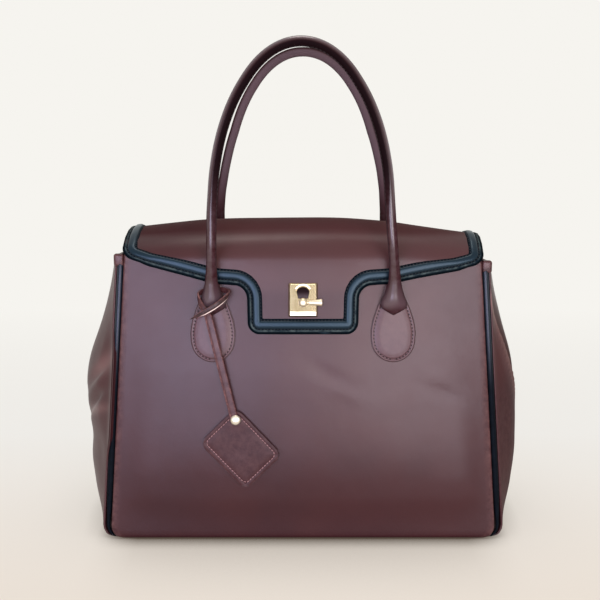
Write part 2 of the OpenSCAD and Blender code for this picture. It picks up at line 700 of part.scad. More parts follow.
// Rounded ends about the pivots: share of the radius below the pivot, share of the radius there
end_shares = [[0.96, 0.28], [0.78, 0.63], [0.42, 0.91]];
module handle_tube() {
    r = handle_d / 2;
    thread_r = handle_wall / 4;
    path = handle_path();
    tips = [for (x = [-1, 1]) [for (e = end_shares) [x * neck_x, -pivot_y, pivot_z - r * e[0]]]];
    whole = concat(tips[0], path, [for (k = [last(end_shares) : -1 : 0]) tips[1][k]]);
    count = len(whole);
    outer = [for (i = [0 : count - 1]) let (k = min(i, count - 1 - i))
        k < len(end_shares) ? r * end_shares[k][1] : r];
    inner = [for (i = [0 : count - 1]) min(i, count - 1 - i) <= len(end_shares) ? thread_r : r - handle_wall];
    color(burgundy)
        skin(tube_rings(whole, outer, tube_sides), tube_rings(whole, inner, tube_sides), ring = true);
}
module handle_core() {
    d = handle_d - 2 * handle_wall - 4 * seam_gap;
    path = handle_path();
    color(cord_white) loft(tube_rings([for (k = [1 : last(path) - 1]) path[k]], d / 2, 6));
}
module front_handle() { handle_tube(); }
module front_handle_core() { handle_core(); }
module back_handle() { rotate([0, 0, 180]) handle_tube(); }
module back_handle_core() { rotate([0, 0, 180]) handle_core(); }

// Strap: looped round the left neck, its pointed end in front, its long end down to the rivet.
// Places as shares of the loop's width, depth and height from the neck, and the turn of its face
loop_w = 30;
loop_d = 10;
loop_h = 26;
strap_shares = [
    [-0.52, -0.6, -0.72, -90], [-0.2, -0.75, -0.52, -90], [0.1, -0.72, -0.3, -80], [0.42, -0.38, -0.02, -35],
    [0.5, 0.05, 0.12, 30], [0.25, 0.4, 0.16, 90], [-0.1, 0.45, 0.14, 90], [-0.4, 0.12, 0.04, 150],
    [-0.42, -0.2, -0.16, 220], [-0.28, -0.3, -0.42, 262], [-0.12, -0.4, -0.7, 270]
];
loop_z = pivot_z - handle_d * 1.7;
rivet_x = -60;
rivet_z = pivot_z - strap_drop;
tag_stack = 2 * leaf_t + seam_gap;
// Room for the tag to swing over the panel's belly
tag_room = 1.2;
rivet_y = face_y(rivet_x, rivet_z) + tag_room + tag_stack;
tag_lean = atan2(face_y(rivet_x, rivet_z - 2 * leather_t) - face_y(rivet_x, rivet_z), 2 * leather_t);
loop_points = [for (p = strap_shares)
    [-neck_x + p[0] * loop_w, p[1] * loop_d - pivot_y + loop_d * 0.35, loop_z + p[2] * loop_h, p[3]]];
strap_foot = [rivet_x, -rivet_y - strap_t / 2 - run_gap, rivet_z]
    + [0, -sin(tag_lean), -cos(tag_lean)] * strap_w / 2;
function strap_points() = concat(
    loop_points,
    [for (t = [0.3, 0.6, 0.85, 1]) lerp(loop_points[last(loop_points)], [each strap_foot, 270], t)]
);
module tag_strap() {
    path = spline(strap_points(), 3);
    rings = [for (i = [0 : last(path)])
        let (p = path[i], a = path[max(i - 1, 0)], b = path[min(i + 1, last(path))],
             t = unit([b[0] - a[0], b[1] - a[1], b[2] - a[2]]),
             f = [cos(p[3]), sin(p[3]), 0], u = unit(cross(t, f)), n = cross(u, t),
             w = strap_w / 2 * (i == 0 ? 0.25 : i == 1 ? 0.7 : 1))
        [for (c = [[-1, -1], [1, -1], [1, 1], [-1, 1]])
            [p[0], p[1], p[2]] + u * w * c[0] + n * strap_t / 2 * c[1]]];
    color(burgundy) difference() {
        loft(rings);
        tag_frame() bore(rivet_shank_d + 2 * seam_gap, -rivet_d, cut);
    }
}

// Frame of the tag: at the rivet on the tag's back, X right, Y into the bag, Z up the panel
module tag_frame() {
    translate([rivet_x, -rivet_y, rivet_z]) rotate([-tag_lean, 0, 0]) children();
}
tag_corner_r = 6;
// Rivet from the tag's corner, as shares of its length and width
rivet_shares = [0.12, 0.2];
module leaf(from) {
    r = tag_corner_r;
    color(burgundy) tag_frame() difference() {
        lock_slab(from, from + leaf_t) rotate(-tag_turn)
            translate([-rivet_shares[0] * tag_len, -tag_w * (1 - rivet_shares[1])]) {
                translate([r, 0]) square([tag_len - 2 * r, tag_w]);
                translate([0, r]) square([tag_len, tag_w - 2 * r]);
                for (x = [r, tag_len - r], y = [r, tag_w - r]) translate([x, y]) circle(r);
            }
        bore(rivet_shank_d + 2 * shaft_gap, from - cut, from + leaf_t + cut);
    }
}
module tag_front_leaf() { leaf(0); }
module tag_back_leaf() { leaf(leaf_t + seam_gap); }
module tag_rivet() {
    color(gold) tag_frame() {
        bore(rivet_shank_d, -strap_t * 2, tag_stack);
        intersection() {
            translate([0, rivet_d * 0.35, 0]) sphere(d = rivet_d * 1.6);
            bore(rivet_d, -rivet_d, -strap_t * 2);
        }
    }
}

front_panel();
back_panel();
base_panel();
left_gusset();
right_gusset();
front_left_piping();
front_right_piping();
back_left_piping();
back_right_piping();
seam_end_caps();
front_top_facing();
back_top_facing();
lining();
base_board();
front_left_handle_tab();
front_right_handle_tab();
back_left_handle_tab();
back_right_handle_tab();
flap_anchor_strip();
lock_keeper();
keeper_washer();
flap_panel();
flap_lining();
flap_trim();
lock_plate();
lock_backing_plate();
lock_plate_rivets();
turn_lever();
front_handle();
front_handle_core();
back_handle();
back_handle_core();
tag_strap();
tag_rivet();
tag_front_leaf();
tag_back_leaf();
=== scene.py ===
"""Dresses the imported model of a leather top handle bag: soft leather shell, flap, handles, lock and tag.

All sizes are written in millimetres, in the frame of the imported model, and become metres in the meshes.
"""

import logging
import math
from dataclasses import dataclass
from enum import Enum
from itertools import product
from typing import Callable, Iterable, Sequence

import bmesh
import bpy
from mathutils import Matrix, Vector, noise
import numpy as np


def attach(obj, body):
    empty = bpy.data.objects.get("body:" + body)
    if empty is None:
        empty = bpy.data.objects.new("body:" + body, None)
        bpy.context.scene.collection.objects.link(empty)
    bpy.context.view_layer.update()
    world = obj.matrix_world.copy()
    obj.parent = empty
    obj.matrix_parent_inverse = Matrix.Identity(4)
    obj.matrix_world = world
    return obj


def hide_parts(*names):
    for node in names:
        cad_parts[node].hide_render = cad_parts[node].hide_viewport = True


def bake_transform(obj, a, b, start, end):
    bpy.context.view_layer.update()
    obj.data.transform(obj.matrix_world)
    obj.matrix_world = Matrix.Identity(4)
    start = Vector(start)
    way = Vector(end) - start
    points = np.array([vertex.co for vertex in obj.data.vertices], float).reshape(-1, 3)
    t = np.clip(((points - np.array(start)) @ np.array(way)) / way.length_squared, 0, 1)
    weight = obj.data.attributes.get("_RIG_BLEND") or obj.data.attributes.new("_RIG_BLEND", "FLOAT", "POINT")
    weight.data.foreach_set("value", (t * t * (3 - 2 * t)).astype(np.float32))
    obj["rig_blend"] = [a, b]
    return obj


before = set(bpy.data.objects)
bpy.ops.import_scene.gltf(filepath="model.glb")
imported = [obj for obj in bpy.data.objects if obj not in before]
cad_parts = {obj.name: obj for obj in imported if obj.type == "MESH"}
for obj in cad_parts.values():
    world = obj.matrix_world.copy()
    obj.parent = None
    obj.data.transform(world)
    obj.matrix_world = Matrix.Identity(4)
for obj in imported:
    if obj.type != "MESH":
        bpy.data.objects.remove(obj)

log = logging.getLogger("bag")
MM = 0.001

Row = Sequence[float]
Rows = tuple[Row, ...]
Pair = tuple[float, float]
Table = Sequence[Sequence[Vector]]
# A column of the shell: its kind, its place in the kind, its side of X and its side of Y.
Column = tuple[str, float, int, int]
# A ring of a tube: its centre, half width, half thickness and flatness.
Ring = tuple[Vector, float, float, float]
BMesh = bmesh.types.BMesh
Socket = bpy.types.NodeSocket


def lerp(a: float, b: float, t: float) -> float:
    """Value between a and b at share t."""
    return a + (b - a) * t


def clamp01(t: float) -> float:
    """Share held between 0 and 1."""
    return max(0.0, min(1.0, t))


def smooth(a: float, b: float, t: float) -> float:
    """Smooth step from 0 at a to 1 at b."""
    u = clamp01((t - a) / (b - a))
    return u * u * (3.0 - 2.0 * u)


def plateau(t: float, a: float, b: float, c: float, d: float) -> float:
    """1 from b to c, and softly down to 0 at a and d."""
    return smooth(a, b, t) * (1 - smooth(c, d, t))


def ridge(t: float, width: float) -> float:
    """Soft bump of height 1 at 0 that is gone at twice the width."""
    return math.exp(-((t / width) ** 2) * 1.6)


def even(a: float, b: float, count: int) -> list[float]:
    """Values from a to b in a number of even steps, both ends among them."""
    return [lerp(a, b, k / count) for k in range(count + 1)]


def turns(count: int) -> list[Pair]:
    """Cosine and sine of a number of even turns."""
    return [(math.cos(math.tau * k / count), math.sin(math.tau * k / count)) for k in range(count)]


def lookup(t: float, pairs: Sequence[Row]) -> float:
    """Value of a table of (place, value) at t, straight between its rows."""
    if t <= pairs[0][0]:
        return pairs[0][1]
    for (a, x), (b, y) in zip(pairs, pairs[1:]):
        if t <= b:
            return lerp(x, y, (t - a) / (b - a))
    return pairs[-1][1]


def bezier(points: Sequence[Vector], t: float) -> Vector:
    """Point on a cubic curve of four points."""
    a, b, c, d = points
    s = 1.0 - t
    return a * s**3 + b * (3 * t * s * s) + c * (3 * t * t * s) + d * t**3


def spline(points: Sequence[Vector], steps: int) -> list[Vector]:
    """Smooth curve through all points, with the given number of steps in each span."""
    last = len(points) - 1
    found = []
    for k in range(last * steps + 1):
        i = min(k // steps, last - 1)
        u = k / steps - i
        a, b = points[max(i - 1, 0)], points[i]
        c, d = points[i + 1], points[min(i + 2, last)]
        found.append(0.5 * (2 * b + (c - a) * u + (2 * a - 5 * b + 4 * c - d) * u**2
                            + (3 * b - a - 3 * c + d) * u**3))
    return found


def spread(points: Sequence[Vector], pitch: float) -> list[tuple[Vector, int, float]]:
    """Places at an even pitch along a polyline.

    Args:
        points: the polyline.
        pitch: distance wanted between places; it is changed slightly to fill the length.

    Returns:
        For each place its point, the index of its span and the share along that span.
    """
    spans = [(b - a).length for a, b in zip(points, points[1:])]
    total = sum(spans)
    count = max(1, round(total / pitch))
    found = []
    i, start = 0, 0.0
    for k in range(count):
        s = (k + 0.5) * total / count
        while i < len(spans) - 1 and start + spans[i] < s:
            start += spans[i]
            i += 1
        t = clamp01((s - start) / max(spans[i], 1e-9))
        found.append((points[i].lerp(points[i + 1], t), i, t))
    return found


def rounded(points: Sequence[Vector], radii: Sequence[float], steps: int, cells: int) -> list[Vector]:
    """Outline with a round at each inner point and an even number of cells on each straight."""
    found = [points[0]]
    for i in range(1, len(points) - 1):
        u = (points[i - 1] - points[i]).normalized()
        v = (points[i + 1] - points[i]).normalized()
        half = math.acos(max(-1.0, min(1.0, u.dot(v)))) / 2
        reach = radii[i] / math.tan(half)
        a, b = points[i] + u * reach, points[i] + v * reach
        centre = points[i] + (u + v).normalized() * (radii[i] / math.sin(half))
        start = found[-1]
        found += [start.lerp(a, k / cells) for k in range(1, cells)]
        for k in range(steps + 1):
            q = a.lerp(b, k / steps) - centre
            found.append(centre + q.normalized() * radii[i])
    start = found[-1]
    return found + [start.lerp(points[-1], k / cells) for k in range(1, cells + 1)]


class Way(Enum):
    """A named direction, with its sign."""

    @property
    def word(self) -> str:
        """Its name, as the pieces' names have it."""
        return self.name.lower()


class Side(Way):
    """Front or back of the bag, with the sign of its face's Y."""

    FRONT = -1
    BACK = 1


class Hand(Way):
    """Left or right of the bag, seen from the front, with the sign of its X."""

    LEFT = -1
    RIGHT = 1


@dataclass(frozen=True)
class BagForm:
    """Outer form of the bag's body and flap, in millimetres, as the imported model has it."""

    body_w: float = 350.0
    top_w: float = 320.0
    body_d: float = 150.0
    mouth_d: float = 76.0
    body_h: float = 258.0
    crown: float = 5.0
    wall: float = 2.0
    base_r: float = 10.0
    corner_r: float = 9.0
    base_corner: float = 13.0
    roll_r: float = 4.5
    fold: float = 31.0
    piping_d: float = 5.6
    gap: float = 0.15
    cap_h: float = 12.0
    flap_w: float = 317.0
    hinge_rise: float = 4.0
    crest_line: Rows = (
        (-162, 15.0), (-150, 15.8), (-134, 17.4), (-115, 19.1), (-96, 20.7), (-54, 22.4), (-20, 23.1),
        (10, 23.1), (34, 22.6), (53, 21.7), (80, 20.1), (99, 18.9), (115, 18.4), (135, 17.9), (158, 17.2),
        (162, 17.0))
    crest_left_y: float = 8.0
    crest_right_y: float = -10.0
    flap_t: float = 1.6
    backing_t: float = 0.7
    flap_gap: float = 1.6
    tongue_w: float = 95.0
    tongue_drop: float = 63.0
    wing_drop: float = 21.0
    lock_z: float = 215.0
    crease_lines: Rows = (
        (20, 152, 0.84, -0.54, -1.0, 8, 26), (34, 137, 0.9, -0.43, 0.6, 7, 24),
        (126, 136, 0.92, -0.38, -0.8, 6, 20))
    puff: float = 1.2
    low_puff: float = 1.3
    slow_wave: float = 1.3
    quick_wave: float = 0.5
    fold_line: Rows = (
        (0, 0), (0.04, 0.34), (0.1, 0.64), (0.24, 0.9), (0.39, 1), (0.5, 0.96), (0.62, 0.82), (0.75, 0.6),
        (0.88, 0.4), (1, 0.24))
    droop_left: float = 2.0
    droop_right: float = 8.3

    def half_w(self, z: float) -> float:
        """Half the panels' width at a height."""
        return lerp(self.body_w, self.top_w, z / self.body_h) / 2

    def half_d(self, z: float) -> float:
        """Half the depth over the panels' edges at a height."""
        return lerp(self.body_d, self.mouth_d, z / self.body_h) / 2

    def over_edge(self, p: Vector) -> float:
        """How far outside the panels' side edge a point lies."""
        return abs(p.x) - self.half_w(min(p.z, self.body_h)) + self.corner_cut(max(p.z, 0))

    def face_y(self, x: float, z: float) -> float:
        """Distance of a panel's face from the middle of the bag."""
        across = math.cos(math.pi / 2 * clamp01(abs(x) / self.half_w(z)))
        return self.half_d(z) + self.crown * across * math.sin(math.pi * clamp01(z / self.body_h))

    def panel_y(self, x: float, z: float, side: Side) -> float:
        """Distance of a panel's leather from the middle, with its puff, slow waves and soft creases."""
        edge = 1 - smooth(0.8, 1.0, abs(x) / self.half_w(z))
        low = smooth(5, 40, z)
        free = 1 - 0.8 * smooth(150, 195, z)
        slow = noise.noise(Vector((x / 120, side.value * 3.0, z / 95)))
        quick = noise.noise(Vector((x / 46, side.value * 7.0 + 2.0, z / 60)))
        lift = self.puff * low * free + self.low_puff * plateau(z, 8, 62, 62, 150)
        lift += slow * self.slow_wave * free
        lift += quick * self.quick_wave * free
        if side is Side.FRONT:
            for x0, z0, dx, dz, depth, wide, long in self.crease_lines:
                t = (z - z0) * dx - (x - x0) * dz
                along = (x - x0) * dx + (z - z0) * dz
                lift += depth * ridge(t, wide) * ridge(along, long)
        return self.face_y(x, z) + lift * edge * low * (1 - smooth(236, 256, z))

    def corner_cut(self, z: float) -> float:
        """Inward step of the panels' sides where their lower corners are rounded."""
        r = self.base_corner
        return 0.0 if z >= r else r - math.sqrt(max(0.0, r * r - (r - z) ** 2))

    def seam_turn(self, z: float) -> float:
        """Inward step of the piping towards the base at the lower corners."""
        return min(self.wall, max(0.0, self.roll_r - z) * self.corner_cut(z) / self.base_corner)

    def fold_share(self, z: float) -> float:
        """Share of the gussets' outward fold at a height."""
        t = clamp01(z / self.body_h)
        if t < 0.06:
            return lookup(t, self.fold_line)
        return sum(lookup(t + step, self.fold_line) for step in (-0.03, 0.0, 0.03)) / 3

    def droop(self, p: Vector) -> Vector:
        """The point with the slight sinking of the bag's upper corners, more at the right."""
        depth = self.droop_right if p.x > 0 else self.droop_left
        share = smooth(70, 175, abs(p.x)) * smooth(40, self.body_h, p.z)
        return p - Vector((0, 0, depth * share))

    @property
    def hinge_y(self) -> float:
        """Distance of the flap's hinge line behind the middle."""
        return self.mouth_d / 2 - self.wall / 2

    @property
    def hinge_z(self) -> float:
        """Height of the flap's hinge line."""
        return self.body_h + self.hinge_rise

    @property
    def flap_stack(self) -> float:
        """Thickness of the flap with its backing."""
        return self.flap_t + self.gap + self.backing_t

    @property
    def fold_y(self) -> float:
        """Distance of the front fold's upper end from the middle."""
        return self.mouth_d / 2 - self.base_r * 0.6

    @property
    def fold_z(self) -> float:
        """Height at which the flap's front fold ends."""
        return self.body_h - 3 * self.wall

    @property
    def front_s(self) -> float:
        """Arc length from the hinge line to the lower end of the front fold."""
        return 1.12 * (self.hinge_y + self.fold_y) + 2.4 * self.base_r

    def crest(self, x: float) -> float:
        """Rise of the flap's top over the hinge line."""
        return sum(lookup(x + step, self.crest_line) for step in (-7, -3, 3, 7)) / 4

    def flap_front_y(self, x: float, z: float) -> float:
        """Distance of the hanging flap's face from the middle."""
        return self.face_y(x, z) + self.flap_gap + self.flap_stack

    def flap_face(self, x: float, s: float) -> Vector:
        """Point of the flap's outer face by place across it and arc length from the hinge line."""
        turn = 0.43 * self.front_s
        share = clamp01(0.5 + x / self.flap_w)
        top = Vector((lerp(self.crest_left_y, self.crest_right_y, share), self.hinge_z + self.crest(x)))
        if s < turn:
            rise = Vector((0, top.y - self.hinge_z))
            start = Vector((self.hinge_y, self.hinge_z))
            p = bezier((start, start + 0.5 * rise, top + Vector((0.4 * self.fold_y, 0)), top), s / turn)
        elif s < self.front_s:
            end = Vector((-self.flap_front_y(x, self.fold_z), self.fold_z))
            low = self.flap_front_y(x, self.fold_z - self.wall)
            down = Vector((-low - end.x, -self.wall)).normalized()
            reach = 1.5 * self.base_r
            ahead = top - Vector((0.52 * (top.x - end.x) - 2 * self.wall, 0))
            p = bezier((top, ahead, end - down * reach, end), (s - turn) / (self.front_s - turn))
        else:
            z = self.fold_z - (s - self.front_s)
            p = Vector((-self.flap_front_y(x, z), z))
        return Vector((x, p.x, p.y))

    def flap_at(self, x: float, s: float, rise: float) -> Vector:
        """Point over the flap's face, after the droop of its corners."""
        e = self.wall / 4
        s0 = max(s - e, 0.0)
        along = self.flap_face(x, s + e) - self.flap_face(x, s0)
        across = self.flap_face(x + e, s) - self.flap_face(x - e, s)
        normal = along.cross(across).normalized()
        return self.droop(self.flap_face(x, s) + normal * rise)

    def outline_corners(self) -> tuple[list[Vector], list[float]]:
        """Corners and radii of the flap's right edge, as (place across, arc length)."""
        w, front, r = self.flap_w / 2, self.front_s, self.corner_r
        wing, tongue, half = front + self.wing_drop, front + self.tongue_drop, self.tongue_w / 2
        tenth = 0.1 * self.wing_drop
        corners = [(w + 1.2, 0), (w + 1.4, front - 0.82 * self.base_r), (w * 0.87, front + tenth),
                   (w * 0.5, wing - tenth), (half + self.wall / 2, wing), (half, tongue), (0, tongue)]
        return [Vector(c) for c in corners], [0, 1.7 * r, 5 * r, 5 * r, 1.5 * r, r, 0]

    def outline(self, inward: float, steps: int = 7, cells: int = 6) -> list[Vector]:
        """The flap's right edge moved inward by a distance, always with the same number of points."""
        corners, radii = self.outline_corners()
        moved, turned = [], []
        for i, (p, r) in enumerate(zip(corners, radii)):
            before = corners[max(i - 1, 0)]
            after = corners[min(i + 1, len(corners) - 1)]
            u = (p - before).normalized() if i else (after - p).normalized()
            v = (after - p).normalized() if i < len(corners) - 1 else u
            side_u, side_v = Vector((-u.y, u.x)), Vector((-v.y, v.x))
            mitre = (side_u + side_v) / (1 + side_u.dot(side_v))
            moved.append(p + mitre * inward)
            turn = u.x * v.y - u.y * v.x
            turned.append(max(0.9, r - inward if turn > 0 else r + inward) if r else 0)
        return rounded(moved, turned, steps, cells)


@dataclass(frozen=True)
class Finish:
    """A finish with a name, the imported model's material slot and a way to build its nodes."""

    name: str
    slot: str

    def paint(self, nodes: "NodeDesk") -> None:
        """Adds the finish's nodes; each finish has its own."""
        raise NotImplementedError

    def material(self) -> bpy.types.Material:
        """The finish's material, made on its first use."""
        found = bpy.data.materials.get(self.name)
        if found is None:
            found = bpy.data.materials.new(self.name)
            found.use_nodes = True
            self.paint(NodeDesk(found.node_tree))
        return found


class NodeDesk:
    """Short ways to add and join nodes in one tree."""

    def __init__(self, tree: bpy.types.NodeTree) -> None:
        """Takes up a tree and its surface shader, where it has one."""
        self.tree = tree
        self.shader = tree.nodes.get("Principled BSDF")

    def add(self, kind: str, **values: object) -> bpy.types.Node:
        """Adds a node and sets its own properties."""
        node = self.tree.nodes.new(kind)
        for key, value in values.items():
            setattr(node, key, value)
        return node

    def join(self, out: Socket, into: Socket) -> None:
        """Joins two sockets."""
        self.tree.links.new(out, into)

    def feed(self, node: bpy.types.Node, values: dict[str, object]) -> None:
        """Gives a node's inputs, by their labels, sockets to follow or values to keep."""
        for label, value in values.items():
            if isinstance(value, Socket):
                self.join(value, node.inputs[label])
            else:
                node.inputs[label].default_value = value

    def object_place(self) -> Socket:
        """The Object coordinates."""
        return self.add("ShaderNodeTexCoord").outputs["Object"]

    def painted(self, name: str) -> Socket:
        """A value painted on the piece's points."""
        return self.add("ShaderNodeAttribute", attribute_name=name).outputs["Fac"]

    def cloud(self, place: Socket, scale: float, detail: float = 2.0, rough: float = 0.5) -> Socket:
        """Soft noise from 0 to 1."""
        node = self.add("ShaderNodeTexNoise")
        self.feed(node, {"Scale": scale, "Detail": detail, "Roughness": rough, "Vector": place})
        return node.outputs["Fac"]

    def range(self, value: Socket, low: float, high: float, to_low: float = 0.0,
              to_high: float = 1.0) -> Socket:
        """A value's range moved to another one, and held in it."""
        node = self.add("ShaderNodeMapRange")
        self.feed(node, {"Value": value, "From Min": low, "From Max": high,
                         "To Min": to_low, "To Max": to_high})
        return node.outputs["Result"]

    def math(self, kind: str, a: Socket, b: Socket | float) -> Socket:
        """One sum of two values, by the operation's name."""
        node = self.add("ShaderNodeMath", operation=kind)
        self.join(a, node.inputs[0])
        if isinstance(b, (int, float)):
            node.inputs[1].default_value = b
        else:
            self.join(b, node.inputs[1])
        return node.outputs[0]

    def blend(self, share: Socket, a: object, b: object) -> Socket:
        """Mix of two colours, each a socket or a colour."""
        node = self.add("ShaderNodeMix", data_type="RGBA")
        self.join(share, node.inputs[0])
        for socket, value in ((node.inputs[6], a), (node.inputs[7], b)):
            if isinstance(value, Socket):
                self.join(value, socket)
            else:
                socket.default_value = linear(value)
        return node.outputs[2]

    def bump(self, height: Socket, depth_mm: float, strength: float, below: Socket | None = None) -> Socket:
        """A normal raised by a height."""
        node = self.add("ShaderNodeBump")
        self.feed(node, {"Distance": depth_mm * MM, "Strength": strength, "Height": height})
        if below is not None:
            self.join(below, node.inputs["Normal"])
        return node.outputs["Normal"]

    def seen(self) -> Socket:
        """1 where the camera sees the place itself, or in metal or glass."""
        light = self.add("ShaderNodeLightPath").outputs
        direct = self.math("MAXIMUM", light["Is Camera Ray"], light["Is Glossy Ray"])
        return self.math("MAXIMUM", direct, light["Is Transmission Ray"])


def linear(colour: str) -> tuple[float, float, float, float]:
    """A colour as written on screen, #rrggbb, as the shader's linear one."""
    parts = [int(colour[i:i + 2], 16) / 255 for i in (1, 3, 5)]
    return tuple(c / 12.92 if c <= 0.04045 else ((c + 0.055) / 1.055) ** 2.4 for c in parts) + (1.0,)


def leather_grain() -> bpy.types.NodeTree:
    """Shared group: fine calf grain and slow wrinkles, from a place and a number of pores in a metre."""
    found = bpy.data.node_groups.get("calf_grain")
    if found is not None:
        return found
    group = bpy.data.node_groups.new("calf_grain", "ShaderNodeTree")
    sockets = group.interface
    sockets.new_socket("Place", in_out="INPUT", socket_type="NodeSocketVector")
    sockets.new_socket("Pores", in_out="INPUT", socket_type="NodeSocketFloat").default_value = 900.0
    for label in ("Height", "Wrinkle"):
        sockets.new_socket(label, in_out="OUTPUT", socket_type="NodeSocketFloat")
    desk = NodeDesk(group)
    start = desk.add("NodeGroupInput").outputs
    end = desk.add("NodeGroupOutput")
    warp = desk.add("ShaderNodeTexNoise")
    desk.feed(warp, {"Scale": 160.0, "Detail": 1.0, "Vector": start["Place"]})
    pull = desk.add("ShaderNodeVectorMath", operation="SCALE")
    desk.feed(pull, {"Scale": 1.6 * MM, "Vector": warp.outputs["Color"]})
    moved = desk.add("ShaderNodeVectorMath", operation="ADD")
    desk.join(start["Place"], moved.inputs[0])
    desk.join(pull.outputs[0], moved.inputs[1])
    cells = desk.add("ShaderNodeTexVoronoi", feature="DISTANCE_TO_EDGE")
    desk.feed(cells, {"Vector": moved.outputs[0], "Scale": start["Pores"]})
    pebble = desk.range(cells.outputs["Distance"], 0.0, 0.22)
    fine = desk.cloud(start["Place"], 2600.0, 2.0, 0.6)
    long = desk.cloud(start["Place"], 60.0, 5.0, 0.62)
    desk.feed(end, {"Height": desk.math("ADD", pebble, desk.math("MULTIPLY", fine, 0.35)),
                    "Wrinkle": desk.range(long, 0.1, 0.9)})
    return group


@dataclass(frozen=True)
class Leather(Finish):
    """Finished calf leather: soft two-tone clouds, fine grain, deep painted shade, paler for scuffs and
    painted highlights.
    """

    tone: str = "#37191d"
    drift: str = "#3e1d1f"
    deep: str = "#140a0c"
    worn: str = "#7d5a55"
    rough: float = 0.3
    rough_drift: float = 0.04
    pores: float = 900.0
    grain: float = 0.14
    grain_depth: float = 0.12
    wrinkle: float = 0.2
    wrinkle_depth: float = 0.5
    coat: float = 0.0
    coat_rough: float = 0.3
    patch: float = 11.0
    tint: str = "#ffffff"
    gloss: float = 0.32
    dull: float = 0.35
    scuffs: float = 190.0

    def paint(self, nodes: NodeDesk) -> None:
        """Adds the leather's nodes."""
        place = nodes.object_place()
        grain = nodes.add("ShaderNodeGroup", node_tree=leather_grain())
        nodes.feed(grain, {"Pores": self.pores, "Place": place})
        height, wrinkle = grain.outputs["Height"], grain.outputs["Wrinkle"]
        patches = nodes.range(nodes.cloud(place, self.patch, 3.0, 0.55), 0.36, 0.64)
        colour = nodes.blend(patches, self.tone, self.drift)
        colour = nodes.blend(nodes.range(height, 0.0, 0.5, 0.12, 0.0), colour, self.deep)
        # Painted shade: the deep tone where shade is painted in grooves, at rims and on shaded sides.
        colour = nodes.blend(nodes.math("MULTIPLY", nodes.painted("seam"), 0.9), colour, self.deep)
        # A paler tone for scuffs, and for painted highlights and painted light.
        scuffs = nodes.range(nodes.cloud(place, self.scuffs, 4.0, 0.65), 0.35, 0.7)
        wear = nodes.math("MULTIPLY", nodes.painted("wear"), scuffs)
        colour = nodes.blend(nodes.math("MAXIMUM", wear, nodes.painted("pale")), colour, self.worn)
        matt = nodes.painted("matt")
        dull = nodes.range(matt, 0.0, 1.0, 0.0, self.dull)
        rough = nodes.range(wrinkle, 0.0, 1.0, self.rough - self.rough_drift, self.rough + self.rough_drift)
        raised = nodes.bump(wrinkle, self.wrinkle_depth, self.wrinkle)
        nodes.feed(nodes.shader, {
            "Base Color": colour,
            "Roughness": nodes.math("ADD", rough, dull),
            "Normal": nodes.bump(height, self.grain_depth, self.grain, raised),
            "Coat Weight": nodes.range(matt, 0.0, 1.0, self.coat, 0.0),
            "Coat Roughness": self.coat_rough,
            "Coat Tint": linear(self.tint),
            "Specular Tint": linear(self.tint),
            "Specular IOR Level": nodes.range(matt, 0.0, 1.0, self.gloss, 0.2 * self.gloss)})


@dataclass(frozen=True)
class CutEdge(Finish):
    """Painted cut edge of leather, slightly waxy and uneven, with a near-white raw edge where a highlight is
    painted on it.
    """

    tone: str = "#2a1718"
    drift: str = "#6b4a40"
    bare: str = "#e8d6c8"
    rough: float = 0.5

    def paint(self, nodes: NodeDesk) -> None:
        """Adds the edge paint's nodes."""
        place = nodes.object_place()
        streak = nodes.range(nodes.cloud(place, 420.0, 4.0, 0.6), 0.45, 0.75)
        # Near-white raw edge where a highlight on it is painted.
        colour = nodes.blend(nodes.painted("bare"), nodes.blend(streak, self.tone, self.drift), self.bare)
        nodes.feed(nodes.shader, {"Base Color": colour, "Normal": nodes.bump(streak, 0.15, 0.4),
                                  "Roughness": nodes.range(streak, 0.0, 1.0, self.rough, self.rough + 0.15)})


@dataclass(frozen=True)
class Metal(Finish):
    """Polished pale gold plating with faint brushing and fine handling marks."""

    tone: str = "#e2c88f"
    drift: str = "#c9a766"
    rough: float = 0.4
    brushed: float = 0.1

    def paint(self, nodes: NodeDesk) -> None:
        """Adds the metal's nodes."""
        place = nodes.object_place()
        patches = nodes.range(nodes.cloud(place, 130.0, 3.0, 0.5), 0.35, 0.65)
        marks = nodes.cloud(place, 900.0, 3.0, 0.6)
        nodes.feed(nodes.shader, {"Base Color": nodes.blend(patches, self.tone, self.drift),
                                  "Roughness": nodes.range(marks, 0.3, 0.75, self.rough, self.rough * 1.15),
                                  "Normal": nodes.bump(marks, 0.02, self.brushed), "Metallic": 1.0})


@dataclass(frozen=True)
class Thread(Finish):
    """Waxed sewing thread with the turns of its ply."""

    tone: str = "#2b1a1c"
    drift: str = "#45292b"
    rough: float = 0.55
    plies: float = 420.0
    ply_turn: float = 35.0

    def paint(self, nodes: NodeDesk) -> None:
        """Adds the thread's nodes."""
        place = nodes.object_place()
        turned = nodes.add("ShaderNodeMapping")
        nodes.feed(turned, {"Rotation": (0.0, 0.0, math.radians(self.ply_turn)), "Vector": place})
        ply = nodes.add("ShaderNodeTexWave")
        nodes.feed(ply, {"Scale": self.plies, "Distortion": 1.5, "Vector": turned.outputs["Vector"]})
        turns_of_ply = ply.outputs["Fac"]
        fuzz = nodes.cloud(place, 1500.0, 2.0, 0.5)
        low = self.rough - 0.08
        nodes.feed(nodes.shader, {"Base Color": nodes.blend(turns_of_ply, self.tone, self.drift),
                                  "Roughness": nodes.range(fuzz, 0.3, 0.7, low, low + 0.2),
                                  "Normal": nodes.bump(turns_of_ply, 0.1, 0.5)})


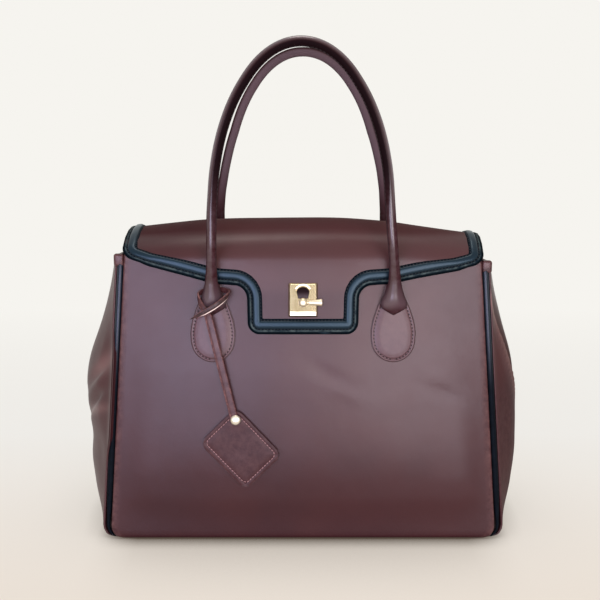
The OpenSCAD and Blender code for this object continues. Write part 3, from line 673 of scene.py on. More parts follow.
@dataclass(frozen=True)
class Cloth(Finish):
    """Plain woven cloth: warp and weft along the piece's own map, measured in metres."""

    tone: str = "#8d7c66"
    drift: str = "#75664f"
    threads: float = 1400.0
    rough: float = 0.8
    mapped: bool = True
    hollow: str = "#4b4033"

    def paint(self, nodes: NodeDesk) -> None:
        """Adds the weave's nodes."""
        place = nodes.add("ShaderNodeTexCoord").outputs["UV" if self.mapped else "Object"]
        heights = []
        for direction in ("X", "Y"):
            band = nodes.add("ShaderNodeTexWave", bands_direction=direction)
            nodes.feed(band, {"Scale": self.threads / math.tau, "Distortion": 0.6, "Detail": 1.0,
                              "Vector": place})
            heights.append(band.outputs["Fac"])
        weave = nodes.math("MAXIMUM", heights[0], heights[1])
        slub = nodes.range(nodes.cloud(place, 90.0, 4.0, 0.6), 0.35, 0.7)
        colour = nodes.blend(slub, self.tone, self.drift)
        colour = nodes.blend(nodes.range(weave, 0.0, 0.6, 0.5, 0.0), colour, self.hollow)
        nodes.feed(nodes.shader, {"Base Color": colour, "Sheen Weight": 0.2,
                                  "Normal": nodes.bump(weave, 0.2, 0.4),
                                  "Roughness": nodes.range(slub, 0.0, 1.0, self.rough, self.rough + 0.1)})


BURGUNDY = Leather("burgundy_calf", "burgundy_leather")
BURGUNDY_EDGE = CutEdge("burgundy_edge_paint", "burgundy_leather")
TAB_EDGE = CutEdge("tab_edge_paint", "burgundy_leather", tone="#2c1415", drift="#6b433d")
STRAP_EDGE = CutEdge("strap_raw_edge", "burgundy_leather", tone="#4a2526", drift="#8f6158")
DEEP_BURGUNDY = Leather("burgundy_lining_calf", "burgundy_leather", tone="#3d2324", drift="#452c2e",
                        rough=0.5)
# The handles' grey paler tone carries their painted sheen.
HANDLE_LEATHER = Leather("handle_calf", "burgundy_leather", tone="#301619", drift="#381a1c", deep="#0a0305",
                         worn="#75666a", rough=0.36, grain=0.03, coat=0.8, coat_rough=0.16, gloss=0.25)
TAB_LEATHER = Leather("tab_calf", "burgundy_leather", tone="#45232a", drift="#4a2829", rough=0.32,
                      coat=0.15)
PIPING_LEATHER = Leather("piping_calf", "navy_leather", tone="#0a1017", drift="#0d161f", deep="#030507",
                         worn="#1a2530", rough=0.3, grain=0.1, coat=0.3, coat_rough=0.2, tint="#c3cfe2",
                         gloss=0.5)
# The grey-green paler tone paints the highlight line on the band's rim.
NAVY = Leather("navy_calf", "navy_leather", tone="#0a131b", drift="#0e1b26", deep="#030507", worn="#4b5754",
               rough=0.34, grain=0.1, coat=0.3, coat_rough=0.28, tint="#74b2c9", gloss=0.5)
DARK_THREAD = Thread("dark_thread", "burgundy_leather", tone="#150a0b", drift="#2b1718", rough=0.75)
NAVY_THREAD = Thread("navy_thread", "navy_leather", tone="#05080c", drift="#121a22", rough=0.7)
PINK_THREAD = Thread("pink_thread", "burgundy_leather", tone="#8d6766", drift="#a98380")
TAG_LEATHER = Leather("tag_calf", "burgundy_leather", tone="#34181b", drift="#3b1d1f", rough=0.45,
                      gloss=0.22)
TAG_RIM = CutEdge("tag_edge_paint", "burgundy_leather", tone="#321a1c", drift="#5e3b3a")
GOLD = Metal("pale_gold_plating", "gold_metal", tone="#f1e8d3", drift="#e3d4b4")
# A darker, shaded copy of the pale gold plating for the lock plate; the pale one on some of its faces paints
# highlights.
PLATE = Metal("polished_plate_plating", "gold_metal", tone="#cdbd9b", drift="#c6b591", rough=0.09,
              brushed=0.02)
RIVET = Metal("pale_rivet_plating", "gold_metal", tone="#f0eadb", drift="#e2d7bd", rough=0.3)
LINING = Cloth("woven_lining", "lining_cloth")
BOARD = Cloth("board_fibre", "base_board", tone="#6b6660", drift="#5a554e", threads=500.0, rough=0.85,
              mapped=False)
CORD = Cloth("cotton_cord", "handle_cord", tone="#cfc8ba", drift="#b9b09e", threads=900.0)


@dataclass(frozen=True)
class Stitch:
    """One kind of stitch: its pitch, length, width and lift in millimetres, and its slant in degrees."""

    pitch: float
    length: float
    width: float
    slant: float = 12.0
    lift: float = 0.0


FACING_STITCH = Stitch(4.0, 3.0, 0.6)
BAND_STITCH = Stitch(3.0, 1.6, 1.0, slant=8, lift=0.1)
HANDLE_STITCH = Stitch(3.6, 2.8, 0.55, slant=6)
TAB_STITCH = Stitch(3.1, 1.6, 1.2, slant=10, lift=0.15)
TAG_STITCH = Stitch(3.0, 2.4, 0.8, slant=6)


def show(name: str, data: bpy.types.ID) -> bpy.types.Object:
    """A new object in the scene that carries the data."""
    obj = bpy.data.objects.new(name, data)
    bpy.context.scene.collection.objects.link(obj)
    return obj


class Bench:
    """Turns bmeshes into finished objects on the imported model's bodies."""

    @staticmethod
    def blank() -> BMesh:
        """An empty bmesh with a map."""
        bm = bmesh.new()
        bm.loops.layers.uv.new("UVMap")
        return bm

    @staticmethod
    def smooth_object(bm: BMesh, name: str) -> bpy.types.Object:
        """A smooth object in the scene of a bmesh, which is freed."""
        mesh = bpy.data.meshes.new(name)
        for face in bm.faces:
            face.smooth = True
        bm.to_mesh(mesh)
        bm.free()
        return show(name, mesh)

    @staticmethod
    def piece(bm: BMesh, name: str, finishes: Sequence[Finish], body: str = "",
              nodes: Sequence[str] = (), crease: float = 50.0) -> bpy.types.Object:
        """Makes an object of a bmesh, dresses it and sets it on its body.

        Args:
            bm: the piece in metres, in place; it is freed.
            name: the piece's name.
            finishes: one finish for each material index used.
            body: the body that it rides on, or nothing when the caller blends it.
            nodes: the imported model's nodes that it stands for.
            crease: angle in degrees over which an edge is drawn sharp.

        Returns:
            The new object.
        """
        obj = Bench.smooth_object(bm, name)
        obj.data.set_sharp_from_angle(angle=math.radians(crease))
        for finish in finishes:
            obj.data.materials.append(finish.material())
        if body:
            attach(obj, body)
        if nodes:
            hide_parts(*nodes)
        log.info("%s: %d faces, on %s", name, len(obj.data.polygons), body or "two bodies")
        return obj

    @staticmethod
    def grid(points: Table, size: Pair = (1.0, 1.0)) -> BMesh:
        """A grid through a table of points in millimetres, its map spread over a size in metres."""
        bm = Bench.blank()
        cols, rows = len(points), len(points[0])
        bmesh.ops.create_grid(bm, x_segments=cols - 1, y_segments=rows - 1, size=0.5, calc_uvs=True)
        for k, vert in enumerate(bm.verts):
            vert.co = points[k % cols][k // cols] * MM
        layer = bm.loops.layers.uv.active
        for face in bm.faces:
            for loop in face.loops:
                uv = loop[layer].uv
                uv.x, uv.y = uv.x * size[0], uv.y * size[1]
        return bm

    @staticmethod
    def weld(bm: BMesh, reach: float = 0.002) -> None:
        """Merges points that lie within a reach in millimetres."""
        bmesh.ops.remove_doubles(bm, verts=bm.verts[:], dist=reach * MM)

    @staticmethod
    def outward(bm: BMesh) -> None:
        """Points a closed mesh's faces outwards."""
        bmesh.ops.recalc_face_normals(bm, faces=bm.faces[:])

    @staticmethod
    def round_off(bm: BMesh, edges: Iterable[bmesh.types.BMEdge], reach: float, segments: int) -> None:
        """Rounds edges by a reach in millimetres."""
        bmesh.ops.bevel(bm, geom=list(edges), offset=reach * MM, affect="EDGES", segments=segments,
                        profile=0.5, material=-1, clamp_overlap=True)

    @staticmethod
    def thicken(bm: BMesh, wall: float, rim: int = 0, bevel: float = 0.0) -> None:
        """Gives a sheet a wall behind its face, its rim in a material of its own and slightly rounded."""
        sides = sum(1 for edge in bm.edges if edge.is_boundary)
        bmesh.ops.solidify(bm, geom=bm.faces[:], thickness=wall * MM)
        bm.faces.index_update()
        rims = list(bm.faces)[-sides:] if sides else []
        for face in rims:
            face.material_index = rim
        if bevel and rims:
            inside = set(rims)
            edges = {edge for face in rims for edge in face.edges
                     if not inside.issuperset(edge.link_faces)}
            Bench.round_off(bm, edges, bevel, 2)

    @staticmethod
    def paint(bm: BMesh, **values: Callable[[Vector], float] | float) -> None:
        """Writes named values on every point, each a number or worked out from its place in millimetres."""
        for name, value in values.items():
            layer = bm.verts.layers.float.get(name) or bm.verts.layers.float.new(name)
            for vert in bm.verts:
                vert[layer] = value(vert.co / MM) if callable(value) else value

    @staticmethod
    def close_ends(bm: BMesh) -> None:
        """Fills the open ends of a tube."""
        ends = [edge for edge in bm.edges if edge.is_boundary]
        if ends:
            bmesh.ops.holes_fill(bm, edges=ends, sides=0)
        Bench.outward(bm)

    @staticmethod
    def close_base(bm: BMesh, height: float) -> None:
        """Fills the open loop that lies wholly under a height in millimetres."""
        base = [edge for edge in bm.edges
                if edge.is_boundary and all(vert.co.z < height * MM for vert in edge.verts)]
        bmesh.ops.contextual_create(bm, geom=base)
        Bench.outward(bm)

    @staticmethod
    def tube(path: Sequence[Vector], ring: Callable[[int, float], Pair], sides: int) -> BMesh:
        """Closed tube along a path.

        Args:
            path: the centre line in millimetres, never along Y.
            ring: offsets from the centre line square to Y and close to Y, by place and turn.
            sides: number of cells round it.

        Returns:
            The tube with closed ends.
        """
        table: list[list[Vector]] = [[] for _ in range(sides + 1)]
        last = len(path) - 1
        for i, p in enumerate(path):
            t = (path[min(i + 1, last)] - path[max(i - 1, 0)]).normalized()
            u = t.cross(Vector((0, 1, 0))).normalized()
            v = u.cross(t)
            for k in range(sides + 1):
                a, b = ring(i, math.tau * (k % sides) / sides)
                table[k].append(p + u * a + v * b)
        length = sum((b - a).length for a, b in zip(path, path[1:])) * MM
        bm = Bench.grid(table, (0.03, length))
        Bench.weld(bm)
        Bench.close_ends(bm)
        return bm

    @staticmethod
    def lathe(profile: Sequence[Row], steps: int, turn: Matrix) -> BMesh:
        """A turned form.

        Args:
            profile: (along, radius) pairs in millimetres, from one end to the other.
            steps: number of cells round it.
            turn: matrix that takes the axis, Z, to its place.

        Returns:
            The closed form.
        """
        bm = Bench.blank()
        made = [bm.verts.new((radius * MM, 0.0, along * MM)) for along, radius in profile]
        edges = [bm.edges.new(pair) for pair in zip(made, made[1:])]
        bmesh.ops.spin(bm, geom=made + edges, cent=(0, 0, 0), axis=(0, 0, 1), angle=math.tau, steps=steps,
                       use_merge=True)
        Bench.weld(bm, 0.004)
        bmesh.ops.transform(bm, matrix=turn, verts=bm.verts[:])
        Bench.outward(bm)
        return bm

    @staticmethod
    def closed_ring(table: Table) -> BMesh:
        """A form closed both ways through a table of points, each line of it a loop round the form."""
        lines = [list(line) + [line[0]] for line in table]
        bm = Bench.grid(lines + [lines[0]])
        Bench.weld(bm, 0.0005)
        Bench.outward(bm)
        return bm

    @staticmethod
    def join(parts: Sequence[BMesh]) -> BMesh:
        """One bmesh of several, which are freed."""
        bm = Bench.blank()
        shuttle = bpy.data.meshes.new("shuttle")
        for part in parts:
            part.to_mesh(shuttle)
            part.free()
            bm.from_mesh(shuttle)
        bpy.data.meshes.remove(shuttle)
        return bm

    @staticmethod
    def stitches(rows: Sequence[Sequence[tuple[Vector, Vector]]], kind: Stitch) -> BMesh:
        """Rows of sewn stitches, each half sunk in its surface.

        Args:
            rows: for each row its points with the surface's normal there, in millimetres.
            kind: the kind of stitch.

        Returns:
            All the stitches.
        """
        seed = Bench.blank()
        bmesh.ops.create_uvsphere(seed, u_segments=6, v_segments=5, radius=0.5, calc_uvs=True,
                                  matrix=Matrix.Rotation(math.pi / 2, 4, "Y"))
        made = []
        for row in rows:
            places = [p for p, _ in row]
            for point, i, t in spread(places, kind.pitch):
                normal = row[i][1].lerp(row[i + 1][1], t).normalized()
                along = (places[i + 1] - places[i]).normalized()
                along = Matrix.Rotation(math.radians(kind.slant), 3, normal) @ along
                side = normal.cross(along).normalized()
                sizes = (along * kind.length, side * kind.width, normal * kind.width)
                basis = Matrix(sizes).transposed().to_4x4()
                place = Matrix.Translation((point + normal * kind.lift) * MM)
                one = seed.copy()
                one.transform(place @ Matrix.Scale(MM, 4) @ basis)
                made.append(one)
        seed.free()
        return Bench.join(made)


@dataclass
class ShellBody:
    """The leather shell with its piped seams, their caps, the facings and the lining."""

    form: BagForm
    panel_cols: int = 56
    gusset_cols: int = 40
    rows: int = 64
    roll_rows: int = 6
    facing_h: float = 28.0
    facing_t: float = 1.0
    facing_cells: tuple[int, int] = (48, 8)
    piping_steps: int = 40
    piping_sides: int = 20
    piping_close: float = 1.3
    piping_foot: float = 0.3
    end_shares: Row = (0.35, 0.7, 0.93)
    end_bulge: float = 0.9
    seam_lap: Pair = (2.6, 6.4)
    cap_size: Row = (9.0, 6.6, 11.4)
    cap_out: Pair = (4.6, -2.9)
    cap_r: float = 2.2
    lining_inset: float = 3.9
    lining_t: float = 0.7
    lining_square: float = 0.22
    lining_cells: tuple[int, int] = (144, 26)
    seam_profile: Rows = (
        (-1.7, 0.0), (-1.0, 0.12), (-0.45, 0.45), (-0.1, 1.0), (0.0, 1.8), (0.0, 3.4), (0.2, 5.0),
        (0.9, 5.9), (2.9, 6.15), (4.9, 5.95), (5.75, 5.2), (5.98, 4.2), (6.05, 3.4), (6.35, 2.8),
        (6.9, 2.55), (7.5, 2.8), (8.0, 3.5))
    left_folds: Rows = ((-38, 150, -5.0), (-34, 122, -4.6))
    left_backs: Rows = ((-40, 155, 0.67, -0.74, 9, 34), (-32, 110, 0.93, -0.37, 6, 30))
    left_swells: Rows = ((145, 45, 5.0), (78, 22, -2.5))
    left_fold_size: Pair = (5.5, 36)
    right_crease: Rows = ((60, 2), (92, -3), (130, -20), (154, -28), (241, -46))
    right_waves: Rows = ((0, 4.5, 4.4), (11, 8, -4.2))
    slack: float = 2.6

    def columns(self) -> list[Column]:
        """The shell's columns in turn, the first one again at the end."""
        found: list[Column] = []
        seam = range(1, len(self.seam_profile))
        for y, x in ((-1, 1), (1, -1)):
            found += [("panel", a * x, x, y) for a in even(-1, 1, self.panel_cols)]
            found += [("seam", float(k), x, y) for k in seam]
            found += [("gusset", a * -y, x, y) for a in even(-1, 1, self.gusset_cols)[1:-1]]
            found += [("seam", float(k), x, -y) for k in reversed(seam)]
        found.append(found[0])
        return found

    def gusset_lift(self, side_x: int, y: float, z: float) -> float:
        """Outward lift of the gussets' leather: the folds of use."""
        lift = noise.noise(Vector((side_x * 5.0, y / 42, z / 66))) * self.slack
        if side_x < 0:
            lift += sum(depth * ridge(z - z0, wide) for z0, wide, depth in self.left_swells)
            wide, reach = self.left_fold_size
            for y0, z0, depth in self.left_folds:
                t = (z - z0) * 0.72 + (y - y0) * 0.69
                along = (z - z0) * 0.69 - (y - y0) * 0.72
                lift += depth * ridge(t, wide) * ridge(along, reach)
        else:
            across = y - self.crease_y(z)
            for y0, wide, depth in self.right_waves:
                lift += depth * ridge(across - y0, wide) * smooth(105, 150, z)
        return lift * smooth(6, 40, z) * (1 - 0.4 * smooth(225, 250, z))

    def point(self, column: Column, z: float, turn: float) -> Vector:
        """Point of the shell's outer face.

        Args:
            column: the column that it lies on.
            z: height before the turn under the base.
            turn: how far the face has turned in under the base.

        Returns:
            The point in millimetres.
        """
        kind, a, side_x, side_y = column
        (inner, _), (outer, sunk) = self.seam_profile[0], self.seam_profile[-1]
        form = self.form
        half_w, half_d = form.half_w(z), form.half_d(z)
        cut, step = form.corner_cut(z), form.seam_turn(z)
        seam_y = lerp(step, turn, 0.6)
        if kind == "panel":
            x = a * (half_w + inner - cut)
            near = smooth(0.86, 1.0, abs(a))
            y = form.panel_y(x, z, Side(side_y)) - lerp(turn, seam_y, near)
            return Vector((x, side_y * y, z))
        if kind == "seam":
            dx, dy = self.seam_profile[int(a)]
            share = int(a) / (len(self.seam_profile) - 1)
            deep = smooth(0.0, 7.0, z)
            dx = lerp(lerp(inner, outer, share), dx, deep)
            dy = lerp(lerp(0.0, sunk, share), dy, deep)
            if side_x < 0 and side_y < 0:
                over = plateau(z, 70, 96, 165, 200) * plateau(dx, 1.5, 4.5, 6.5, 8.0)
                dx, dy = dx - self.seam_lap[0] * over, dy - self.seam_lap[1] * over
            return Vector((side_x * (half_w - cut + dx), side_y * (half_d - seam_y - dy), z))
        soft = lerp(math.cos(math.pi / 2 * a), 1 - abs(a) ** 1.25, 0.6 * clamp01(z / form.body_h))
        x = half_w + outer - 2.1 * soft + form.fold * form.fold_share(z) * soft
        y = a * (half_d - sunk - seam_y)
        edge = 1 - smooth(0.72, 1.0, abs(a))
        x += self.gusset_lift(side_x, y, z) * edge * math.sqrt(form.fold_share(z))
        x -= lerp(turn, cut, smooth(0.75, 1.0, abs(a)))
        return Vector((side_x * x, y, z))

    def top(self, column: Column) -> float:
        """Height of a column's upper edge."""
        kind, a, _, _ = column
        low = self.form.body_h - self.form.cap_h / 2
        if kind == "panel":
            return self.form.body_h
        if kind == "gusset":
            return low
        return lerp(self.form.body_h, low, smooth(4, 9, a))

    def shell(self) -> None:
        """The one lofted leather shell: panels, gussets and base."""
        form = self.form
        table = []
        for column in self.columns():
            points = [self.point(column, 0.0, form.roll_r + 8)]
            for k in range(self.roll_rows):
                a = math.pi / 2 * k / self.roll_rows
                z, turn = form.roll_r * (1 - math.cos(a)), form.roll_r * (1 - math.sin(a))
                points.append(self.point(column, z, turn))
            points[1:] = sorted(points[1:], key=lambda p: p.z)
            points += [self.point(column, z, 0.0) for z in even(form.roll_r, self.top(column), self.rows)]
            table.append([form.droop(p) for p in points])
        bm = Bench.grid(table, (1.1, 0.28))
        Bench.weld(bm)
        Bench.close_base(bm, 0.5)
        Bench.thicken(bm, form.wall, rim=1)
        # Painted shade in the seams' grooves, paler turned edges (partly rubbing, partly painted highlight),
        # painted highlights on the gussets' folds, and duller gussets.
        Bench.paint(bm, seam=self.seam_shade, wear=self.wear_shade, matt=self.matt_share,
                    pale=self.fold_shade)
        Bench.piece(bm, "leather_shell", (BURGUNDY, BURGUNDY_EDGE), "body",
                    ("front_panel", "back_panel", "left_gusset", "right_gusset", "base_panel"))

    def seam_shade(self, p: Vector) -> float:
        """Painted shade in the seams' grooves and behind the right gusset's crease."""
        form = self.form
        across = form.over_edge(p)
        depth = form.half_d(min(p.z, form.body_h)) - abs(p.y)
        groove = smooth(0.6, 2.6, depth) * plateau(across, -1.4, -0.3, 5.6, 6.4)
        if p.x < 0 or across < 6:
            return groove
        behind = smooth(1, 6, p.y - self.crease_y(p.z)) * (1 - smooth(10, 30, p.y))
        return max(groove, 0.45 * behind * smooth(70, 110, p.z))

    def crease_y(self, z: float) -> float:
        """Place of the right gusset's steep crease."""
        return lookup(z, self.right_crease)

    def matt_share(self, p: Vector) -> float:
        """Duller leather on the gussets, most of all low on the right one."""
        side = smooth(5, 9, abs(p.x) - self.form.half_w(p.z))
        if p.x > 0:
            back = ridge(p.y - self.crease_y(p.z) + 4, 5) * smooth(90, 150, p.z)
            return side * lerp(0.85, 0.15, max(back, smooth(150, 240, p.z)))
        return side * 0.3 * (1 - self.fold_light(p))

    def fold_light(self, p: Vector) -> float:
        """1 on the backs of the left gusset's two slanting folds, which are made glossier and get a painted
        highlight.
        """
        found = 0.0
        for y0, z0, run, fall, wide, reach in self.left_backs:
            across = (p.y - y0) * fall - (p.z - z0) * run
            along = (p.y - y0) * run + (p.z - z0) * fall
            found = max(found, ridge(across, wide) * ridge(along, reach))
        return found

    def wear_shade(self, p: Vector) -> float:
        """Paler where the leather turns at the panels' side edges and the lower corners, partly rubbing and
        partly a painted highlight, and a little paler on the gussets.
        """
        form = self.form
        across = form.over_edge(p)
        return 0.55 * ridge(across + 1.1, 1.6) if across < 6 else 0.15

    def fold_shade(self, p: Vector) -> float:
        """Painted highlights on the backs of the gussets' folds and the right one's crease, a faint painted
        lightening of the gussets, and a faint painted sheen on the panels right of the middle.
        """
        if abs(p.x) < self.form.half_w(p.z) + 6:
            return 0.1 * plateau(p.x, -60, 0, 110, 155) * smooth(60, 110, p.z)
        if p.x < 0:
            return 0.14 + 0.6 * self.fold_light(p)
        crease = ridge(p.y - self.crease_y(p.z), 3.6)
        return max(crease * smooth(100, 130, p.z), 0.14 * smooth(110, 160, p.z))

    def pipings(self) -> None:
        """The four dark welts in the side seams."""
        form = self.form
        r = form.piping_d / 2
        low, top = r + form.gap, form.body_h - form.cap_h + r - 0.3
        heights = [lerp(low, top, share ** self.piping_close) for share in even(0, 1, self.piping_steps)]
        ends = self.end_shares
        bulges = [r * self.end_bulge * math.sqrt(1 - share * share) for share in ends]
        shares = [*ends, *[1.0] * len(heights), *reversed(ends)]
        for side, hand in product(Side, Hand):
            path = []
            for z in heights:
                x = form.half_w(z) - form.corner_cut(z) + form.gap + r
                y = form.half_d(z) - r - form.seam_turn(z)
                path.append(form.droop(Vector((hand.value * x, side.value * y, z))))
            down, up = (path[0] - path[1]).normalized(), (path[-1] - path[-2]).normalized()
            path = [path[0] + down * bulge for bulge in bulges] + path
            path += [path[-1] + up * bulge for bulge in reversed(bulges)]

            def ring(i: int, a: float, side: Side = side) -> Pair:
                """A slightly uneven round that starts thin at the foot."""
                size = r * shares[i] * (1 + 0.03 * noise.noise(Vector((i * 0.37, side.value, 0))))
                size *= lerp(self.piping_foot, 1.0, smooth(2, 15, i))
                return size * math.cos(a), size * math.sin(a)

            bm = Bench.tube(path, ring, self.piping_sides)
            # Painted shade low on the pipings, where they lie in shadow, and duller leather there.
            Bench.paint(bm, seam=lambda p: 1 - smooth(120, 200, p.z), wear=0.2,
                        matt=lambda p: 1 - 0.8 * smooth(130, 200, p.z))
            name = f"{side.word}_{hand.word}_piping"
            Bench.piece(bm, f"{name}_leather", (PIPING_LEATHER,), "body", (name,))

    def caps(self) -> None:
        """Leather folded over the upper ends of the four seams."""
        form = self.form
        bm = Bench.blank()
        low, z = form.body_h - form.cap_h, form.body_h - form.cap_h * 0.42
        x, y = form.half_w(z) + self.cap_out[0], form.half_d(z) + self.cap_out[1]
        for side, hand in product(Side, Hand):
            centre = Vector((hand.value * x, side.value * y, z))
            for vert in bmesh.ops.create_cube(bm, size=1.0, calc_uvs=True)["verts"]:
                vert.co = Vector(a * b for a, b in zip(vert.co, self.cap_size))
                vert.co.y *= 1.0 if vert.co.z < 0 else 0.9
                vert.co = form.droop(vert.co + centre) * MM
        Bench.round_off(bm, bm.edges, self.cap_r, 4)
        Bench.outward(bm)
        # Painted shade along the caps' lower edges.
        Bench.paint(bm, seam=lambda p: 0.35 * (1 - smooth(low, low + 2.0, p.z)), wear=0.4)
        Bench.piece(bm, "seam_cap_leather", (BURGUNDY,), "body", ("seam_end_caps",))

    def facings(self) -> None:
        """Leather bands inside the mouth, with a row of stitches."""
        form = self.form
        cols, ups = self.facing_cells
        low = form.body_h - self.facing_h
        rows = []

        def place(side: Side, share: float, z: float, sides: float, deep: float) -> Vector:
            """Point inside a panel by its share across, its height and its room to the sides and face."""
            x = share * (form.half_w(z) - form.piping_d - sides)
            return form.droop(Vector((x, side.value * (form.face_y(x, z) - form.wall - deep), z)))

        for side in Side:
            table = [[place(side, a, z, 0, 0.35) for z in even(low, form.body_h - 0.4, ups)]
                     for a in even(-1, 1, cols)]
            if side is Side.BACK:
                table.reverse()
            bm = Bench.grid(table, (0.31, 0.028))
            Bench.thicken(bm, self.facing_t, rim=1, bevel=0.25)
            Bench.paint(bm, seam=0.0, wear=0.0)
            name = f"{side.word}_top_facing"
            Bench.piece(bm, f"{name}_leather", (DEEP_BURGUNDY, BURGUNDY_EDGE), "body", (name,))
            inward = Vector((0, -side.value, 0))
            rows.append([(place(side, a, low + 3.0, 3, 1.35), inward) for a in even(-1, 1, 40)])
        Bench.piece(Bench.stitches(rows, FACING_STITCH), "facing_stitches", (DARK_THREAD,), "body")

    def lining(self) -> None:
        """The sewn inner bag, slack between its seams."""
        form = self.form
        low = form.wall + 2.4 + form.gap
        high = form.body_h - self.facing_h + 4.0
        count, ups = self.lining_cells
        square = self.lining_square
        table = []
        for c, s in turns(count):
            line = []
            for i, z in enumerate(even(low, high, ups)):
                near = self.lining_inset + form.base_r / 2 * (1 - i / ups) ** 8
                w = form.half_w(z) - near + form.fold * form.fold_share(z) * 0.75
                x = w * math.copysign(abs(c) ** square, c)
                d = form.face_y(x, z) - near - 0.6
                narrow = 1 - smooth(form.half_w(z) - 14, w, abs(x)) * 0.9
                y = d * narrow * math.copysign(abs(s) ** square, s)
                slack = noise.noise(Vector((x / 40, y / 40, z / 55))) * 1.4 - 1.0
                share = plateau(z, low, low + 25, high - 18, high)
                x, y = x * (1 + slack * share / 200), y * (1 + slack * share / 60)
                line.append(form.droop(Vector((x, y, z))))
            table.append(line)
        bm = Bench.grid(table + table[:1], (0.98, 0.23))
        Bench.weld(bm)
        Bench.close_base(bm, low + 1)
        Bench.thicken(bm, self.lining_t)
        Bench.piece(bm, "lining_cloth_bag", (LINING,), "body", ("lining",))

    def build(self) -> None:
        """Builds the shell and all that is sewn to it."""
        self.shell()
        self.pipings()
        self.caps()
        self.facings()
        self.lining()


@dataclass
class Flap:
    """The flap: leather that runs on into the strip sewn to the back, backing, and the padded edge band."""

    form: BagForm
    anchor_h: float = 26.0
    cell: float = 6.0
    band_t: float = 0.35
    seam_groove: float = 2.7
    wave: float = 0.8
    anchor_rises: Row = (-20, -12, -5, -1, 1.5, 3)
    band_seams: Pair = (2.75, 10.5)
    band_profile: Rows = (
        (0.4, -2.3), (-0.6, -2.0), (-1.3, -1.3), (-1.5, -0.5), (-1.1, 0.1), (-0.3, 0.35), (0.5, 0.5),
        (1.0, 0.8), (1.4, 0.9), (1.9, 0.85), (2.3, 0.5), (2.7, 0.4), (3.1, 0.5), (3.4, 1.0), (3.8, 1.5),
        (4.5, 1.87), (5.6, 2.05), (7.0, 2.12), (8.4, 2.06), (9.2, 1.88), (9.7, 1.4), (10.0, 0.95),
        (10.4, 0.65), (10.9, 0.6), (11.5, 0.5), (11.8, 0.3), (12.0, -0.3))

    def across(self) -> list[Pair]:
        """The flap's columns from left to right: place across and arc length of the edge there."""
        form = self.form
        corners = form.outline(0.0)
        first = next(i for i, p in enumerate(corners) if p.y > form.front_s - 1.6 * form.base_r)
        used = corners[first:]
        found = []
        for a, b in zip(used, used[1:]):
            count = max(1, math.ceil((a.x - b.x) / self.cell))
            found += [a.lerp(b, k / count) for k in range(count)]
        found.append(used[-1])
        right = [(p.x, p.y) for p in found]
        return [(-x, s) for x, s in right] + [(x, s) for x, s in reversed(right[:-1])]

    def rows(self, end: float) -> list[float]:
        """Arc lengths of a column's rows."""
        form = self.form
        fold = form.front_s * 0.7
        low = min(form.front_s, lerp(fold, end, 0.75))
        return even(0, fold, 14) + even(fold, low, 8)[1:] + even(low, end, 8)[1:]

    def ripple(self, x: float, s: float) -> float:
        """Slow waves of the flap's leather."""
        form = self.form
        share = smooth(10, 40, s) * (1 - 0.5 * smooth(form.front_s, form.front_s + 60, s))
        return share * self.wave * noise.noise(Vector((x / 75, s / 48, 4.0)))

    def anchor(self, x: float) -> list[Vector]:
        """Points of the strip on the back panel, from its lower edge to just under the hinge line."""
        form = self.form
        found = []
        for rise in (-self.anchor_h, *self.anchor_rises):
            z = form.body_h + rise
            y = form.face_y(x, min(z, form.body_h)) + form.gap + form.flap_t
            lean = smooth(form.body_h - 3, form.hinge_z + 0.5, z)
            found.append(form.droop(Vector((x, lerp(y, form.hinge_y, lean), z))))
        return found

    def leather(self) -> None:
        """The flap's leather, one sheet from the strip on the back to the tongue's tip."""
        form = self.form
        table = []
        for x, end in self.across():
            line = self.anchor(max(-form.flap_w / 2, min(form.flap_w / 2, x)))
            line += [form.flap_at(x, s, self.ripple(x, s)) for s in self.rows(end)]
            table.append(line)
        table.reverse()
        bm = Bench.grid(table, (0.32, 0.19))
        Bench.thicken(bm, form.flap_t, rim=1, bevel=0.3)
        # A little paler along the crest, and painted light over the flap's upper part from left of the
        # middle to the right.
        Bench.paint(bm, seam=0.0,
                    wear=lambda p: 0.12 * ridge(p.z - form.hinge_z - form.crest(p.x), 5),
                    matt=lambda p: smooth(0.3, 0.7, (p.z - form.hinge_z) / form.crest(p.x)),
                    pale=lambda p: 0.15 * smooth(-130, -40, p.x) * smooth(216, 234, p.z))
        obj = Bench.piece(bm, "flap_leather", (BURGUNDY, BURGUNDY_EDGE), "",
                          ("flap_panel", "flap_anchor_strip"))
        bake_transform(obj, "body", "flap", start=(0, 0.040, 0.258), end=(0, 0.034, 0.264))

    def backing(self) -> None:
        """The flap's thin leather backing."""
        form = self.form
        deep = form.flap_t + form.gap
        table = [[form.flap_at(x * 0.985, max(1.5, s * 0.992), self.ripple(x, s) - deep)
                  for s in self.rows(end)] for x, end in self.across()]
        table.reverse()
        bm = Bench.grid(table, (0.32, 0.16))
        Bench.thicken(bm, form.backing_t)
        Bench.paint(bm, seam=0.0, wear=0.0)
        Bench.piece(bm, "flap_backing", (DEEP_BURGUNDY,), "flap", ("flap_lining",))

    def band_line(self, inward: float, rise: float) -> list[Vector]:
        """One line of the edge band round the whole flap."""
        form = self.form
        right = form.outline(inward)
        right[0] = Vector((right[0].x, 3.0))
        whole = right + [Vector((-p.x, p.y)) for p in reversed(right[:-1])]
        return [form.flap_at(p.x, max(p.y, 0.5), rise + self.ripple(p.x, p.y)) for p in whole]

    def band(self) -> None:
        """The dark padded band with its two rows of stitches."""
        table = [self.band_line(inward, rise) for inward, rise in self.band_profile]
        bm = Bench.grid(table, (0.02, 0.6))
        place = {}
        for (inward, _), line in zip(self.band_profile, table):
            place.update({tuple(round(c, 2) for c in p): inward for p in line})

        def inward_of(p: Vector) -> float:
            """Distance from the flap's edge of a point of the band."""
            return place.get(tuple(round(c, 2) for c in p), 5.0)

        def groove(p: Vector) -> float:
            """Painted shade at the band's two rims and along its outer row of stitches."""
            inward = inward_of(p)
            rims = max(1 - smooth(0.3, 0.9, inward), 0.8 * smooth(9.8, 10.4, inward))
            return max(rims, ridge(inward - self.seam_groove, 0.8))
